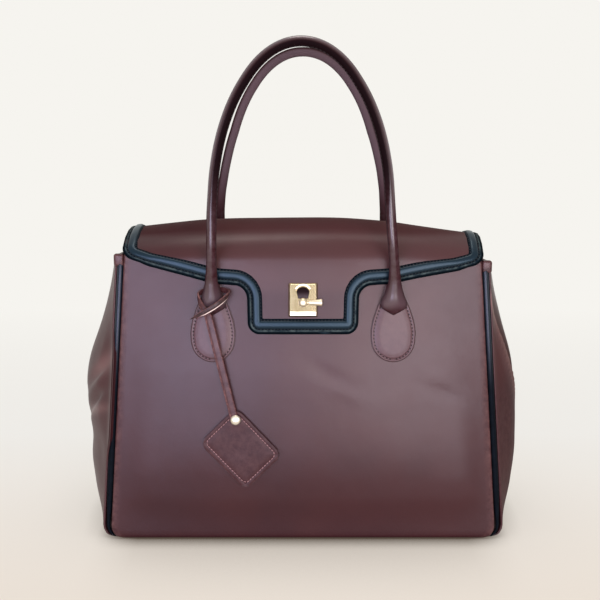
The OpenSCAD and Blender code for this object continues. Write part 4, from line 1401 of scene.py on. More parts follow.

        # Painted shade at the rims and the outer stitch row, and a painted highlight on the rim's pale line.
        Bench.paint(bm, seam=groove, wear=lambda p: 1.6 * ridge(inward_of(p) - 1.45, 0.7),
                    matt=lambda p: 1 - plateau(inward_of(p), 3.0, 3.7, 9.5, 10.1))
        Bench.thicken(bm, self.band_t)
        Bench.outward(bm)
        Bench.piece(bm, "edge_band", (NAVY,), "flap", ("flap_trim",), crease=70)
        rows = []
        for inward in self.band_seams:
            low, high = self.band_line(inward, 0.5), self.band_line(inward, 1.5)
            rows.append([(a, (b - a).normalized()) for a, b in zip(low, high)])
        Bench.piece(Bench.stitches(rows, BAND_STITCH), "edge_band_stitches", (NAVY_THREAD,), "flap")

    def build(self) -> None:
        """Builds the flap."""
        self.leather()
        self.backing()
        self.band()


@dataclass
class RolledHandle:
    """One handle: rolled tube that grows out of two flared necks, on two teardrop tabs."""

    form: BagForm
    side: Side
    neck_span: float = 161.0
    arch_span: float = 149.0
    arch_z: float = 316.0
    top_z: float = 438.0
    pivot_y: float = 56.5
    pivot_z: float = 237.0
    stand_y: float = 61.5
    flap_room: float = 5.0
    lean_x: float = -1.7
    back_lean_x: float = 1.9
    tube_d: float = 8.8
    kick_h: float = 35.0
    tab_w: float = 40.0
    tab_z: float = 162.0
    tab_top_z: float = 230.0
    tab_t: float = 1.8
    tab_seam: float = 2.7
    tab_cols: int = 44
    cord_d: float = 6.4
    leg_steps: int = 22
    arch_steps: int = 64
    sides: int = 40
    thread_turn: float = 0.42
    arch_light: Pair = (270.0, 340.0)
    neck_shape: Rows = (
        (203.6, 0.4, 0.5), (204.6, 1.9, 0.9), (206.0, 4.0, 1.3), (207.6, 6.6, 1.7), (209.2, 9.2, 2.1),
        (210.2, 10.6, 2.4), (211.4, 11.2, 2.8), (213.5, 11.6, 3.5), (216.0, 11.4, 4.2), (218.5, 10.5, 4.7),
        (221.0, 9.4, 5.0), (224.0, 8.2, 5.1), (227.0, 7.3, 5.0), (230.0, 6.5, 4.8), (233.5, 5.8, 4.6))
    back_spread: Rows = (
        (237, 0.0), (262, 3.2), (285, 4.5), (305, 4.4), (335, 1.9), (363, 0.0), (400, -0.5), (440, -0.5))
    narrowing: Rows = (
        (237, 1.0), (296, 1.011), (316, 1.011), (341, 0.99), (366, 0.974), (390, 0.958), (407, 0.945),
        (425, 0.95), (438, 0.96))
    tab_shares: Rows = (
        (0, 0.0), (0.008, 0.2), (0.03, 0.42), (0.06, 0.59), (0.1, 0.74), (0.15, 0.86), (0.2, 0.93),
        (0.28, 0.985), (0.38, 1.0), (0.46, 0.97), (0.55, 0.91), (0.62, 0.83), (0.7, 0.74), (0.82, 0.56),
        (0.92, 0.44), (1, 0.38))

    def leg_y(self, z: float) -> float:
        """Distance of a leg from the middle of the bag."""
        share = 1 - (1 - clamp01((z - self.pivot_z) / self.kick_h)) ** 1.7
        return lerp(self.pivot_y, self.stand_y, share)

    def leg_x(self, z: float) -> float:
        """Distance of a leg from the bag's middle plane."""
        share = clamp01((z - self.pivot_z) / (self.arch_z - self.pivot_z))
        return lerp(self.neck_span, self.arch_span, share) / 2

    def neck_rings(self) -> list[Ring]:
        """The neck's rings, from its tip upwards."""
        found = []
        x, low = self.neck_span / 2, self.neck_shape[0][0]
        for z, half, thick in self.neck_shape:
            share = clamp01((z - low) / (self.pivot_z - low))
            base = self.form.panel_y(x, z, self.side) + self.form.gap + self.tab_t
            rise = 1 - (1 - clamp01(1.75 * share)) ** 2.2
            front = lerp(base + thick, self.pivot_y + self.tube_d / 2, rise)
            back = lerp(base - thick, self.pivot_y - self.tube_d / 2, smooth(0.25, 1.0, share))
            flat = 0.6 * (1 - smooth(0, 0.4, share))
            found.append((Vector((x, (front + back) / 2, z)), half, (front - back) / 2, flat))
        return found

    def centre_line(self) -> list[Ring]:
        """The rings all along the handle, from neck to neck."""
        r = self.tube_d / 2
        right = self.neck_rings()
        for k in range(self.leg_steps):
            z = lerp(self.pivot_z, self.arch_z, (k / self.leg_steps) ** 1.2)
            half = r + 1.0 * (1 - smooth(self.pivot_z - 4, self.pivot_z + 17, z))
            right.append((Vector((self.leg_x(z), self.leg_y(z), z)), half, r, 0.0))
        for k in range(self.arch_steps // 2 + 1):
            a = math.pi * k / self.arch_steps
            z = self.arch_z + (self.top_z - self.arch_z) * math.sin(a)
            right.append((Vector((self.arch_span / 2 * math.cos(a), self.stand_y, z)), r, r, 0.0))
        whole = right + [(Vector((-p.x, p.y, p.z)), a, b, f) for p, a, b, f in reversed(right[:-1])]
        found = []
        for p, a, b, f in whole:
            x = p.x * lookup(p.z, self.narrowing) + self.lean_x * smooth(self.pivot_z, 300, p.z)
            y = p.y
            if self.side is Side.BACK:
                wider = math.copysign(lookup(p.z, self.back_spread), p.x)
                x += self.back_lean_x * smooth(self.pivot_z, 330, p.z) + wider
                y += self.flap_room * smooth(self.pivot_z + 5, self.pivot_z + 45, p.z)
            found.append((Vector((x, self.side.value * y, p.z)), a, b, f))
        return found

    def leather(self) -> None:
        """Tube and necks as one piece that bends just over the necks."""
        whole = self.centre_line()
        centres = [p for p, _, _, _ in whole]

        def ring(i: int, turn: float) -> Pair:
            """The flare's or the tube's round, with the tube's seam under the arch."""
            _, a, b, flat = whole[i]
            u, v = math.cos(turn), math.sin(turn)
            size = 1 + 0.01 * noise.noise(Vector((i * 0.31, u * 0.8, v * 0.8)))
            under = math.remainder(turn, math.tau)
            size *= 1 + (1 - flat) * (0.05 * ridge(under, 0.3) - 0.09 * ridge(under, 0.07))
            if flat > 0:
                u = math.copysign(abs(u) ** lerp(1.0, 0.9, flat), u)
            return a * u * size, b * v * size

        bm = Bench.tube(centres, ring, self.sides)
        low = self.neck_shape[0][0]
        # Painted shade along the lower border of each neck's flare, painted light low on the legs, and a
        # painted highlight down the necks.
        Bench.paint(bm, seam=lambda p: 0.75 * (1 - smooth(low + 5, low + 16, p.z)) * self.rim_share(p),
                    wear=lambda p: 0.2 * (1 - smooth(*self.arch_light, p.z)),
                    pale=lambda p: 0.3 * plateau(p.z, low + 2, low + 12, low + 14, low + 40), matt=0.0)
        self.shade_tube(bm)
        body = f"{self.side.word}_handle"
        obj = Bench.piece(bm, f"{body}_leather", (HANDLE_LEATHER,), "", (body,), crease=80)
        y = self.side.value * 0.0565
        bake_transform(obj, "body", body, start=(0, y, 0.229), end=(0, y, 0.245))
        inner = [p for p in centres if p.z > self.pivot_z + 1]
        r = self.cord_d / 2
        cord = Bench.tube(inner, lambda i, turn: (r * math.cos(turn), r * math.sin(turn)), 16)
        Bench.piece(cord, f"{body}_cord", (CORD,), body, (f"{body}_core",))
        row = []
        turn = math.copysign(self.thread_turn, self.side.value)
        for i in range(len(self.neck_shape) + 5, len(whole) - len(self.neck_shape) - 5):
            p, a, _, _ = whole[i]
            t = (centres[i + 1] - centres[i - 1]).normalized()
            u = t.cross(Vector((0, 1, 0))).normalized()
            normal = u * math.cos(turn) + u.cross(t) * math.sin(turn)
            row.append((p + normal * a * 1.01, normal))
        Bench.piece(Bench.stitches([row], HANDLE_STITCH), f"{body}_stitches", (DARK_THREAD,), body)

    def shade_tube(self, bm: BMesh) -> None:
        """Matt away from the light on the legs, and on the arch a painted shade on one side and a painted
        highlight on the other.
        """
        Bench.outward(bm)
        bm.normal_update()
        layers = bm.verts.layers.float
        matt, shade, pale = layers["matt"], layers["seam"], layers["pale"]
        for vert in bm.verts:
            x, z = vert.co.x / MM, vert.co.z / MM
            outward = Vector((x, 0, max(z - self.arch_z, 0.0))).normalized()
            high = smooth(*self.arch_light, z)
            light = Vector((-0.3 * (1 - high), self.side.value, 0)) + outward * high
            vert[matt] = 1 - smooth(0.78, 0.97, vert.normal.dot(light.normalized()))
            out = vert.normal.dot(outward)
            # Painted shade and painted highlight by how the face turns from the arch: the front one shaded
            # inside, lit outside; the back one lit, shaded at its outer border.
            if self.side is Side.BACK:
                dark, bright = 0.7 * smooth(0.55, 0.95, out), 0.5 * (1 - smooth(0.3, 0.8, out))
            else:
                dark, bright = smooth(-0.6, 0.1, -out), 0.6 * smooth(0.35, 0.85, out)
            vert[shade] = max(vert[shade], dark * high)
            vert[pale] = max(vert[pale], bright * high)

    def rim_share(self, p: Vector) -> float:
        """1 at the border of a neck's flare, 0 inside it."""
        half = lookup(p.z, [(z, wide) for z, wide, _ in self.neck_shape])
        return smooth(half - 1.6, half - 0.3, abs(abs(p.x) - self.neck_span / 2))

    def tab_point(self, x: float, z: float, rise: float) -> Vector:
        """Point over the panel's leather, for the tabs."""
        y = self.form.panel_y(x, z, self.side) + self.form.gap + rise
        return Vector((x, self.side.value * y, z))

    def tab_outline(self) -> list[Vector]:
        """The teardrop's right half from its foot up, as (half width, height)."""
        corners = [Vector((self.tab_w / 2 * wide, lerp(self.tab_z, self.tab_top_z, share), 0))
                   for share, wide in self.tab_shares]
        return spline(corners, 4)

    def tabs(self) -> None:
        """The two teardrop tabs with a sewn channel and its stitches."""
        outline = self.tab_outline()
        inset = self.tab_seam
        spans = list(zip(outline, outline[1:]))

        def margin(x: float, z: float) -> float:
            """Distance from the tab's edge."""
            best = 99.0
            for a, b in spans:
                d = b - a
                t = clamp01(((x - a.x) * d.x + (z - a.y) * d.y) / max(d.length_squared, 1e-9))
                best = min(best, math.hypot(x - a.x - d.x * t, z - a.y - d.y * t))
            return best

        def rise(x: float, z: float) -> float:
            """Height of the tab's face over the panel."""
            m = margin(abs(x), z)
            puff = 0.55 * smooth(inset, inset + 6, m)
            return self.tab_t - 0.5 * ridge(m, 0.8) + puff - 0.35 * ridge(m - inset, 0.9)

        rows = []
        shares = [math.sin(math.pi / 2 * a) for a in even(-1, 1, self.tab_cols)]
        heights = [(p, [rise(u * p.x, p.y) for u in shares]) for p in outline]
        for hand in Hand:
            middle = hand.value * self.neck_span / 2
            table = [[self.tab_point(middle + u * p.x, p.y, rises[k]) for p, rises in heights]
                     for k, u in enumerate(shares)]
            if self.side is Side.BACK:
                table.reverse()
            bm = Bench.grid(table, (0.04, 0.07))
            Bench.weld(bm)
            Bench.thicken(bm, self.tab_t - 0.3, rim=1)
            # Painted shadow along each tab's outer edge.
            Bench.paint(bm, seam=lambda p: 0.75 * ridge(margin(abs(p.x - middle), p.z), 1.1), wear=0.1)
            name = f"{self.side.word}_{hand.word}_handle_tab"
            Bench.piece(bm, f"{name}_leather", (TAB_LEATHER, TAB_EDGE), "body", (name,), crease=35)
            for sign in (1, -1):
                line = []
                for a, b in zip(outline[2:], outline[3:]):
                    side = Vector(((b - a).y, -(b - a).x, 0)).normalized()
                    q = a - side * inset
                    if q.x < 0.2 or q.y > self.tab_top_z - 4:
                        continue
                    place = self.tab_point(middle + sign * q.x, q.y, self.tab_t - 0.25)
                    line.append((place, Vector((0, self.side.value, 0.1))))
                rows.append(line)
        name = f"{self.side.word}_tab_stitches"
        Bench.piece(Bench.stitches(rows, TAB_STITCH), name, (DARK_THREAD,), "body")

    def build(self) -> None:
        """Builds the handle with its tabs."""
        self.leather()
        self.tabs()


@dataclass
class TurnLock:
    """The lock on the flap: plate with its keyhole slot and raised oval, and the ball with its lever."""

    form: BagForm
    plate_w: float = 26.2
    plate_h: float = 30.4
    plate_t: float = 1.8
    plate_drop: float = 12.9
    plate_r: float = 1.3
    ball_d: float = 8.5
    lever_len: float = 17.0
    lever_end_d: float = 6.8
    spindle_d: float = 3.0
    keeper_y: float = 4.35
    cam_size: tuple[float, float, float] = (3.0, 1.0, 9.0)
    oval_section: Rows = (
        (-0.9, 0.2), (-0.78, 0.6), (-0.68, 0.68), (0.68, 0.68), (0.78, 0.6), (0.9, 0.2))
    around: int = 96

    def frame(self) -> Matrix:
        """Matrix from the lock's frame, X right, Y into the bag, Z up the flap, in metres."""
        form = self.form
        y = form.flap_front_y(0, form.lock_z)
        step = form.flap_front_y(0, form.lock_z - form.wall) - form.flap_front_y(0, form.lock_z + form.wall)
        lean = math.atan2(step, 2 * form.wall)
        return Matrix.Translation(Vector((0, -y, form.lock_z)) * MM) @ Matrix.Rotation(-lean, 4, "X")

    def in_place(self, bm: BMesh) -> BMesh:
        """The bmesh, taken from the lock's frame to its place on the flap."""
        bmesh.ops.transform(bm, matrix=self.frame(), verts=bm.verts[:])
        return bm

    @property
    def foot(self) -> float:
        """Lower edge of the plate from the lever's axis."""
        return -self.plate_drop

    def plate_ring(self, inset: float, depth: float) -> list[Vector]:
        """The plate's outline moved inward, at a depth over the flap."""
        w, h, r = self.plate_w / 2 - inset, self.plate_h / 2 - inset, max(self.plate_r - inset, 0.3)
        middle = self.foot + self.plate_h / 2
        found = []
        for c, s in turns(self.around):
            t = min(w / max(abs(c), 1e-6), h / max(abs(s), 1e-6))
            x, z = c * t, s * t
            over_x, over_z = abs(x) - (w - r), abs(z) - (h - r)
            if over_x > 0 and over_z > 0:
                size = math.hypot(over_x, over_z)
                x = math.copysign(w - r + over_x / size * r, x)
                z = math.copysign(h - r + over_z / size * r, z)
            found.append(Vector((x, depth, middle + z)))
        return found

    def slot_ring(self, outset: float, depth: float) -> list[Vector]:
        """The keyhole slot's outline moved outward, at a depth over the flap."""
        high = self.foot + self.plate_h - 2.2 * self.plate_t
        low = self.ball_d / 2 - self.plate_t / 2
        half = self.plate_w * 0.212
        rise = 0.78 * half
        middle = high - rise
        found = []
        for c, s in turns(self.around):
            if s >= 0:
                x, z = (half + outset) * c, middle + (rise + outset) * s
            else:
                depth_z = middle - low + outset
                t = min(1 / max(abs(s), 1e-6), 1 / max(abs(c), 1e-6))
                share = clamp01(-s * t)
                wide = lerp(half, half * 0.76, share) + outset
                x, z = wide * c * t, middle - depth_z * share
            found.append(Vector((x, depth, z)))
        return found

    def oval(self, wide: float, depth: float) -> list[Vector]:
        """A racetrack outline round slot and ball, at a half width and a depth."""
        low, high = self.foot + self.plate_t, self.foot + self.plate_h - self.plate_t / 2
        r = self.plate_w * 0.31
        return [Vector((c * (r + wide), depth, (high - r if s >= 0 else low + r) + s * (r + wide)))
                for c, s in turns(self.around)]

    def plate(self) -> None:
        """The plate with bevelled borders, its slot, the raised oval and the boss, the paler plating
        painting highlights, and a patch of painted shade in the slot.
        """
        t = self.plate_t
        lines = [self.plate_ring(0, 0.0), self.plate_ring(0.06, -0.15), self.plate_ring(1.35, -t * 0.95),
                 self.plate_ring(1.45, -t), self.plate_ring(1.7, -t), self.slot_ring(0.6, -t),
                 self.slot_ring(0.45, -t), self.slot_ring(0.1, -t * 0.85), self.slot_ring(0, -t * 0.6),
                 self.slot_ring(0, 0.0)]
        plate = Bench.closed_ring(lines)
        rim = Bench.closed_ring([self.oval(wide - 0.9, -t - rise + 0.3) for wide, rise in self.oval_section])
        low, high = self.foot, self.foot + self.plate_h
        # The oval's upper part in the paler plating: a painted highlight.
        for face in rim.faces:
            face.material_index = 1 if face.calc_center_median().z / MM > high - 5.4 else 0
        wide = self.plate_w / 2 - 1.5
        bar = []
        for deep, inset in ((0.3, 0.0), (-0.25, 0.0), (-0.4, 0.15), (-0.42, 1.84), (0.3, 1.84)):
            x, foot, head = wide - inset, low + 1.2 + inset, low + 4.9 - inset
            bar.append([Vector((a, deep - t, z)) for a, z in ((x, foot), (x, head), (-x, head), (-x, foot))])
        strip = Bench.closed_ring(bar)
        # The lower bar all in the paler plating: a painted highlight along the plate's foot.
        for face in strip.faces:
            face.material_index = 1
        profile = [(0.2, 0), (0.2, 4.3), (t * 1.2, 4.3), (t * 1.42, 4.2), (t * 1.5, 3.9), (t * 1.5, 2.2),
                   (t * 1.3, 1.9), (t * 1.3, 0)]
        boss = Bench.lathe(profile, 40, Matrix.Rotation(math.pi / 2, 4, "X"))
        bm = self.in_place(Bench.join([plate, rim, strip, boss]))
        Bench.piece(bm, "lock_plate_metal", (PLATE, GOLD), "flap", ("lock_plate",), crease=32)
        ring = self.slot_ring(0.2, -0.25)
        middle = sum(ring, Vector()) / len(ring)
        table = [[p.lerp(middle, t) for p in ring + ring[:1]] for t in even(0, 1, 8)]
        bm = Bench.grid(table, (0.01, 0.03))
        Bench.weld(bm, 0.001)
        high = max(p.z for p in ring)
        # A patch in the slot that carries painted shadow, darkest under the slot's top.
        Bench.paint(bm, seam=lambda p: lerp(0.45, 1.0, smooth(high - 9, high - 3, p.z)),
                    matt=lambda p: smooth(high - 10, high - 3, p.z))
        Bench.outward(bm)
        Bench.piece(self.in_place(bm), "lock_slot_leather", (BURGUNDY,), "flap")

    def lever(self) -> None:
        """Ball, tapered lever, spindle and cam."""
        r = self.ball_d / 2
        y = -self.plate_t * 1.5 - 0.3 - r
        end, tip = self.lever_end_d / 2, self.lever_len
        profile = [(-r * math.cos(math.pi * k / 16), r * math.sin(math.pi * k / 16)) for k in range(14)]
        profile += [(3.75, 2.0), (4.1, 2.35), (4.7, 2.35), (5.1, 1.95), (5.6, 1.85)]
        profile += [(lerp(5.6, 15.2, k / 6), lerp(1.85, end * 0.97, (k / 6) ** 1.1)) for k in range(1, 7)]
        profile += [(15.9, end), (16.5, end * 0.97), (16.85, end * 0.86), (tip, end * 0.68),
                    (tip - 0.25, end * 0.5), (tip - 0.25, 0)]
        turn = Matrix.Translation(Vector((0, y, 0)) * MM) @ Matrix.Rotation(math.pi / 2, 4, "Y")
        arm = Bench.lathe(profile, 40, turn)
        for vert in arm.verts:
            p = vert.co / MM
            reach = math.hypot(p.x, p.z)
            if p.y < y and reach < 1.5 and abs(p.x) < r:
                vert.co.y += 0.5 * MM * (1 - smooth(0.5, 1.3, reach))
        thin, back = self.spindle_d / 2, self.keeper_y
        spindle = Bench.lathe([(y, 0), (y, thin), (back, thin), (back, 0)], 24,
                              Matrix.Rotation(-math.pi / 2, 4, "X"))
        cam = Bench.blank()
        bmesh.ops.create_cube(cam, size=1.0, calc_uvs=True)
        bmesh.ops.scale(cam, vec=Vector(self.cam_size) * MM, verts=cam.verts[:])
        bmesh.ops.translate(cam, vec=Vector((0, back + 0.2, 0)) * MM, verts=cam.verts[:])
        Bench.round_off(cam, cam.edges, 0.2, 2)
        bm = self.in_place(Bench.join([arm, spindle, cam]))
        Bench.piece(bm, "turn_lever_metal", (GOLD,), "lever", ("turn_lever",), crease=35)

    def build(self) -> None:
        """Builds the lock's visible metal."""
        self.plate()
        self.lever()


@dataclass
class HangTag:
    """The strap knotted round the left neck, its rivet and the two-leaf tag."""

    form: BagForm
    strap_w: float = 6.8
    strap_t: float = 1.5
    tag_len: float = 58.5
    tag_w: float = 45.0
    leaf_t: float = 1.3
    corner_r: float = 8.0
    turn: float = 46.0
    rivet_d: float = 9.4
    out: float = 2.4
    rivet_x: float = -60.0
    rivet_z: float = 112.0
    rivet_shares: Pair = (0.128, 0.17)
    seam_inset: float = 3.3
    loop: Rows = (
        (-99.0, -62.6, 202.6, -90), (-88.0, -65.4, 208.4, -90), (-77.5, -65.6, 214.4, -84),
        (-68.4, -61.6, 221.0, -42), (-65.4, -54.5, 224.8, 25), (-72, -49.0, 226.2, 85),
        (-84, -48.4, 226.0, 95), (-92.0, -53.0, 223.4, 165), (-90.9, -59.2, 217.6, 232),
        (-86.9, -61.9, 211.0, 262), (-83.4, -60.6, 203.8, 269))
    section: Rows = (
        (-1, 0.2), (-0.8, 1), (0, 1.08), (0.6, 1), (1, 0.0), (1, -0.6), (0.93, -1), (0, -1.08), (-0.93, -1),
        (-1, -0.6))
    map_w: float = 0.016
    raw_faces: tuple[int, ...] = (0, 3, 4, 9)
    bare_corners: tuple[int, ...] = (3, 4, 5)
    dark_corners: tuple[int, ...] = (1, 2, 3)
    bow: float = 1.1
    wave: float = 0.25
    dome_z: float = 2.0
    dome_h: float = 2.3
    path_steps: int = 7
    cells: tuple[int, int] = (52, 42)

    @property
    def stack(self) -> float:
        """Thickness of the two leaves."""
        return 2 * self.leaf_t + self.form.gap

    @property
    def rivet_y(self) -> float:
        """Distance of the tag's face from the middle at the rivet."""
        return self.form.face_y(self.rivet_x, self.rivet_z) + 1.2 + self.stack

    @property
    def lean(self) -> float:
        """Lean of the tag to the panel's belly, in radians."""
        form, step = self.form, 2 * self.form.wall
        low = form.face_y(self.rivet_x, self.rivet_z - step)
        return math.atan2(low - form.face_y(self.rivet_x, self.rivet_z), step)

    def frame(self) -> Matrix:
        """Matrix from the tag's frame, X right, Y into the bag, Z up the panel, in metres."""
        at = Vector((self.rivet_x, -self.rivet_y, self.rivet_z))
        turn = Matrix.Rotation(-self.lean, 4, "X")
        return Matrix.Translation(at * MM) @ turn @ Matrix.Translation(Vector((0, -self.out, 0)) * MM)

    def strap(self) -> None:
        """The flat thong with raw edges and a pointed end."""
        foot = self.frame() @ (Vector((0, -self.strap_t / 2 - 0.3, -self.strap_w * 0.6)) * MM) / MM
        points = [Vector(p[:3]) for p in self.loop]
        faces = [p[3] for p in self.loop]
        start = points[-1]
        for t in (0.3, 0.6, 0.85, 1.0):
            points.append(start.lerp(foot, t))
            faces.append(270)
        steps, section = self.path_steps, self.section
        path = spline(points, steps)
        angles = [math.radians(p.x) for p in spline([Vector((f, 0, 0)) for f in faces], steps)]
        last = len(path) - 1
        table: list[list[Vector]] = [[] for _ in section]
        for i, p in enumerate(path):
            t = (path[min(i + 1, last)] - path[max(i - 1, 0)]).normalized()
            face = Vector((math.cos(angles[i]), math.sin(angles[i]), 0))
            u = t.cross(face).normalized()
            n = u.cross(t)
            point = smooth(-2, 9, i) * lerp(0.7, 1.0, smooth(8 * steps, 11 * steps, i))
            end = 1.0 if i < last - 6 else math.sqrt(max(0.03, 1 - ((i - last + 6) / 6.3) ** 2))
            w = self.strap_w / 2 * max(0.08, point) * end
            for k, (a, b) in enumerate(section):
                table[k].append(p + u * (w * a) + n * (self.strap_t / 2 * b))
        bm = Bench.grid(table + [table[0]], (self.map_w, 0.2))
        layer = bm.loops.layers.uv.active
        for face in bm.faces:
            middle = sum(loop[layer].uv.x for loop in face.loops) / len(face.loops)
            face.material_index = int(int(middle / self.map_w * len(section)) in self.raw_faces)
        # Painted highlight on one raw edge where the strap crosses the neck, and painted shadow on its face
        # round the knot.
        bare = bm.verts.layers.float.new("bare")
        shade = bm.verts.layers.float.new("seam")
        count = len(section) + 1
        for n, vert in enumerate(bm.verts):
            i, k = n // count, n % count
            vert[bare] = plateau(i, 4, 9, 21, 25) if k in self.bare_corners else 0.0
            vert[shade] = 0.85 * (1 - smooth(20, 40, i)) if k in self.dark_corners else 0.0
        Bench.weld(bm)
        Bench.close_ends(bm)
        Bench.paint(bm, wear=0.35)
        Bench.piece(bm, "tag_strap_leather", (BURGUNDY, STRAP_EDGE), "tag_strap", ("tag_strap",), crease=40)

    def leaf_point(self, u: float, v: float, inset: float = 0.0) -> Vector:
        """Place on the tag by its shares, -1 to 1, with rounded corners, as (along, across)."""
        w, h, r = self.tag_len / 2 - inset, self.tag_w / 2 - inset, max(self.corner_r - inset, 1.0)
        x, y = u * w, v * h
        a, b = (abs(x) - (w - r)) / r, (abs(y) - (h - r)) / r
        if a > 0 and b > 0:
            x = math.copysign(w - r + r * a * math.sqrt(1 - b * b / 2), x)
            y = math.copysign(h - r + r * b * math.sqrt(1 - a * a / 2), y)
        return Vector((x, y, 0))

    def to_tag(self, p: Vector, depth: float) -> Vector:
        """A place on the tag, turned and hung from its rivet, with the tag's slight bow."""
        a = -math.radians(self.turn)
        x = p.x + self.tag_len * (0.5 - self.rivet_shares[0])
        z = p.y + self.tag_w * (self.rivet_shares[1] - 0.5)
        depth += self.wave * noise.noise(Vector((x / 18, z / 18, 2)))
        depth -= self.bow * smooth(8, 44, math.hypot(x, z))
        turned = Vector((x * math.cos(a) - z * math.sin(a), depth, x * math.sin(a) + z * math.cos(a)))
        return self.frame() @ (turned * MM) / MM

    def leaves(self) -> None:
        """The two leaves, sewn round their edges."""
        us, vs = ([math.sin(math.pi / 2 * a) for a in even(-1, 1, count)] for count in self.cells)

        def rise(p: Vector) -> float:
            """Height of the leaf's face: sewn channel and softly rounded border."""
            m = min(self.tag_len / 2 - abs(p.x), self.tag_w / 2 - abs(p.y))
            return 0.3 * smooth(3.4, 8, m) - 0.35 * ridge(m - self.seam_inset, 0.7) - 0.3 * ridge(m, 0.7)

        for name, depth, sign in (("tag_front_leaf", 0.0, 1), ("tag_back_leaf", self.stack, -1)):
            table = [[self.to_tag(p, depth - sign * rise(p)) for p in (self.leaf_point(u, v) for v in vs)]
                     for u in us]
            if sign < 0:
                table.reverse()
            bm = Bench.grid(table, (self.tag_len * MM, self.tag_w * MM))
            Bench.thicken(bm, self.leaf_t - 0.15, rim=1, bevel=0.2)
            Bench.paint(bm, seam=0.0, wear=0.2)
            Bench.piece(bm, f"{name}_leather", (TAG_LEATHER, TAG_RIM), "tag", (name,))
        ring = []
        corners = ((-1, -1), (1, -1), (1, 1), (-1, 1), (-1, -1))
        for (u0, v0), (u1, v1) in zip(corners, corners[1:]):
            for k in range(30):
                p = self.leaf_point(lerp(u0, u1, k / 30), lerp(v0, v1, k / 30), self.seam_inset)
                ring.append(self.to_tag(p, -0.02))
        normal = (self.frame().to_3x3() @ Vector((0, -1, 0))).normalized()
        row = [(p, normal) for p in ring + ring[:1]]
        Bench.piece(Bench.stitches([row], TAG_STITCH), "tag_stitches", (PINK_THREAD,), "tag")

    def rivet(self) -> None:
        """The domed rivet with its thin foot."""
        r = self.rivet_d / 2
        z = self.dome_z
        profile = [(-self.stack, 0), (-self.stack, 1.0), (z - 0.5, 1.0), (z - 0.5, r)]
        profile += [(z - 0.25, r * 1.02), (z, r)]
        profile += [(z + self.dome_h * math.sin(a), r * 0.97 * math.cos(a))
                    for a in (math.pi / 2 * k / 10 for k in range(1, 11))]
        bm = Bench.lathe(profile, 48, self.frame() @ Matrix.Rotation(math.pi / 2, 4, "X"))
        Bench.piece(bm, "tag_rivet_metal", (RIVET,), "tag", ("tag_rivet",), crease=40)

    def build(self) -> None:
        """Builds the strap, the tag and the rivet."""
        self.strap()
        self.leaves()
        self.rivet()


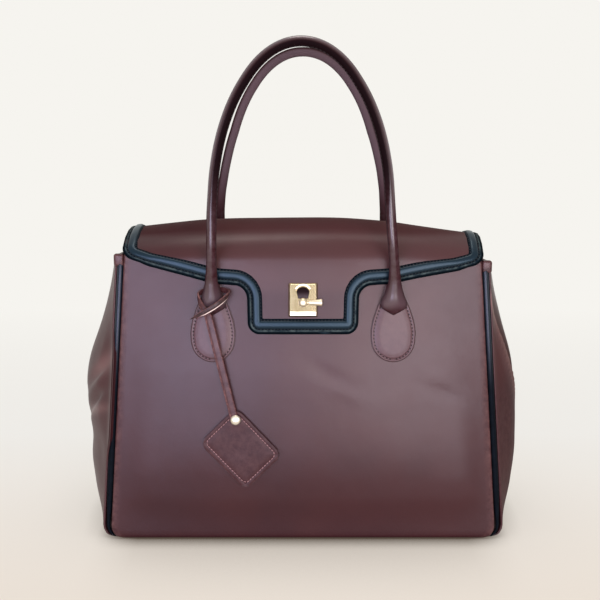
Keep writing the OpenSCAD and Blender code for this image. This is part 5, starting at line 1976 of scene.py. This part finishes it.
@dataclass
class Studio:
    """Pale floor and backdrop, soft lamps and the camera of the photograph."""

    eye: Row = (-2.7, -826.6, 377.3)
    pitch: float = 11.65
    view_angle: float = 37.14
    half_wide: float = 3200.0
    sweep_y: float = 1100.0
    sweep_r: float = 700.0
    floor_z: float = -0.2
    air: float = 0.38
    lamps: tuple[tuple[str, Row, Row, float, float, str], ...] = (
        ("window_left", (-320, -1040, 300), (-100, 0, 240), 520, 6.4, "#e2ddff"),
        ("window_right", (320, -1040, 300), (100, 0, 240), 520, 6.8, "#f6ebf6"),
        ("overhead", (0, 100, 1500), (0, 0, 200), 500, 4.2, "#fff4ee"))
    floor: str = "#efe6da"
    wall: str = "#f6f4ef"
    shade: str = "#5f5449"
    soft_shade: str = "#998e81"

    def backdrop(self) -> None:
        """A sheet that is the floor and sweeps up behind the bag."""
        start, r, z = self.sweep_y, self.sweep_r, self.floor_z
        line = [(y, z) for y in (-2600, -1200, -600, -200, 200, 600, start)]
        line += [(start + r * math.sin(a), z + r * (1 - math.cos(a))) for a in even(0, math.pi / 2, 8)[1:]]
        line += [(start + r, high) for high in (1400, 2600)]
        bm = Bench.grid([[Vector((x, *p)) for p in line] for x in even(-self.half_wide, self.half_wide, 8)])
        obj = Bench.smooth_object(bm, "backdrop")
        obj.data.materials.append(self.backdrop_material())

    def backdrop_material(self) -> bpy.types.Material:
        """Warm floor that takes the lamps' shadow and has a contact shadow painted in from ambient
        occlusion, and a plain pale wall.
        """
        material = bpy.data.materials.new("pale_backdrop")
        material.use_nodes = True
        nodes = NodeDesk(material.node_tree)
        split = nodes.add("ShaderNodeSeparateXYZ")
        nodes.feed(split, {"Vector": nodes.object_place()})
        far = nodes.range(split.outputs["Y"], -0.17, 0.2)
        colour = nodes.blend(far, self.floor, self.wall)
        beside = nodes.range(nodes.math("ABSOLUTE", split.outputs["X"], 0.0), 0.15, 0.19, 1.0, 0.25)
        # Painted contact shadow from ambient occlusion, a wide soft one and a narrow dark one, weaker beside
        # the bag.
        for reach, low, shade in ((0.13, 0.1, self.soft_shade), (0.022, 0.42, self.shade)):
            near = nodes.add("ShaderNodeAmbientOcclusion", samples=12)
            nodes.feed(near, {"Distance": reach})
            dark = nodes.math("MULTIPLY", nodes.range(near.outputs["AO"], low, 0.97, 1.0, 0.0), beside)
            colour = nodes.blend(dark, colour, shade)
        nodes.feed(nodes.shader, {"Base Color": colour, "Roughness": 0.8})
        glow = nodes.add("ShaderNodeEmission")
        nodes.feed(glow, {"Color": colour})
        share = nodes.math("MULTIPLY", nodes.seen(), nodes.range(split.outputs["Y"], 0.15, 0.9, 0.8, 1.0))
        mix = nodes.add("ShaderNodeMixShader")
        for socket, source in zip(mix.inputs, (share, nodes.shader.outputs[0], glow.outputs[0])):
            nodes.join(source, socket)
        out = next(n for n in material.node_tree.nodes if n.type == "OUTPUT_MATERIAL")
        nodes.feed(out, {"Surface": mix.outputs[0]})
        return material

    def world(self) -> None:
        """Even light from all round, white where the camera sees it."""
        world = bpy.data.worlds.new("studio_air")
        bpy.context.scene.world = world
        world.use_nodes = True
        desk = NodeDesk(world.node_tree)
        desk.feed(world.node_tree.nodes["Background"], {
            "Color": linear("#f4f2ee"), "Strength": desk.range(desk.seen(), 0.0, 1.0, self.air, 1.0)})

    def lamp(self, name: str, at: Row, aim: Row, size: float, power: float, colour: str) -> None:
        """One soft square lamp at a place, aimed at another, its size in millimetres and power in watts."""
        data = bpy.data.lights.new(name, "AREA")
        data.size = size * MM
        data.energy = power
        data.color = linear(colour)[:3]
        lamp = show(name, data)
        lamp.location = Vector(at) * MM
        lamp.rotation_euler = (Vector(aim) - Vector(at)).to_track_quat("-Z", "Y").to_euler()

    def camera(self) -> None:
        """The camera of the photograph."""
        data = bpy.data.cameras.new("photo_camera")
        data.sensor_width = 36.0
        data.angle = math.radians(self.view_angle)
        camera = show("photo_camera", data)
        camera.location = Vector(self.eye) * MM
        camera.rotation_euler = (math.radians(90 - self.pitch), 0, 0)
        bpy.context.scene.camera = camera

    def build(self) -> None:
        """Builds the studio."""
        self.camera()
        self.backdrop()
        self.world()
        for values in self.lamps:
            self.lamp(*values)
        bpy.context.scene.view_settings.view_transform = "Standard"


def dress_hidden_nodes() -> None:
    """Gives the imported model's own solids their finishes."""
    metal = ("lock_keeper", "keeper_washer", "lock_backing_plate", "lock_plate_rivets")
    for name, finish in (("base_board", BOARD), *((name, GOLD) for name in metal)):
        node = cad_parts[name]
        node.data.materials.clear()
        node.data.materials.append(finish.material())


def main() -> None:
    """Builds the bag and the studio."""
    logging.basicConfig(level=logging.INFO, format="%(name)s: %(message)s")
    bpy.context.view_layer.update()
    Studio().build()
    form = BagForm()
    dress_hidden_nodes()
    ShellBody(form).build()
    Flap(form).build()
    TurnLock(form).build()
    for side in Side:
        RolledHandle(form, side).build()
    HangTag(form).build()
    log.info("boxes written")


if __name__ == "__main__":
    main()
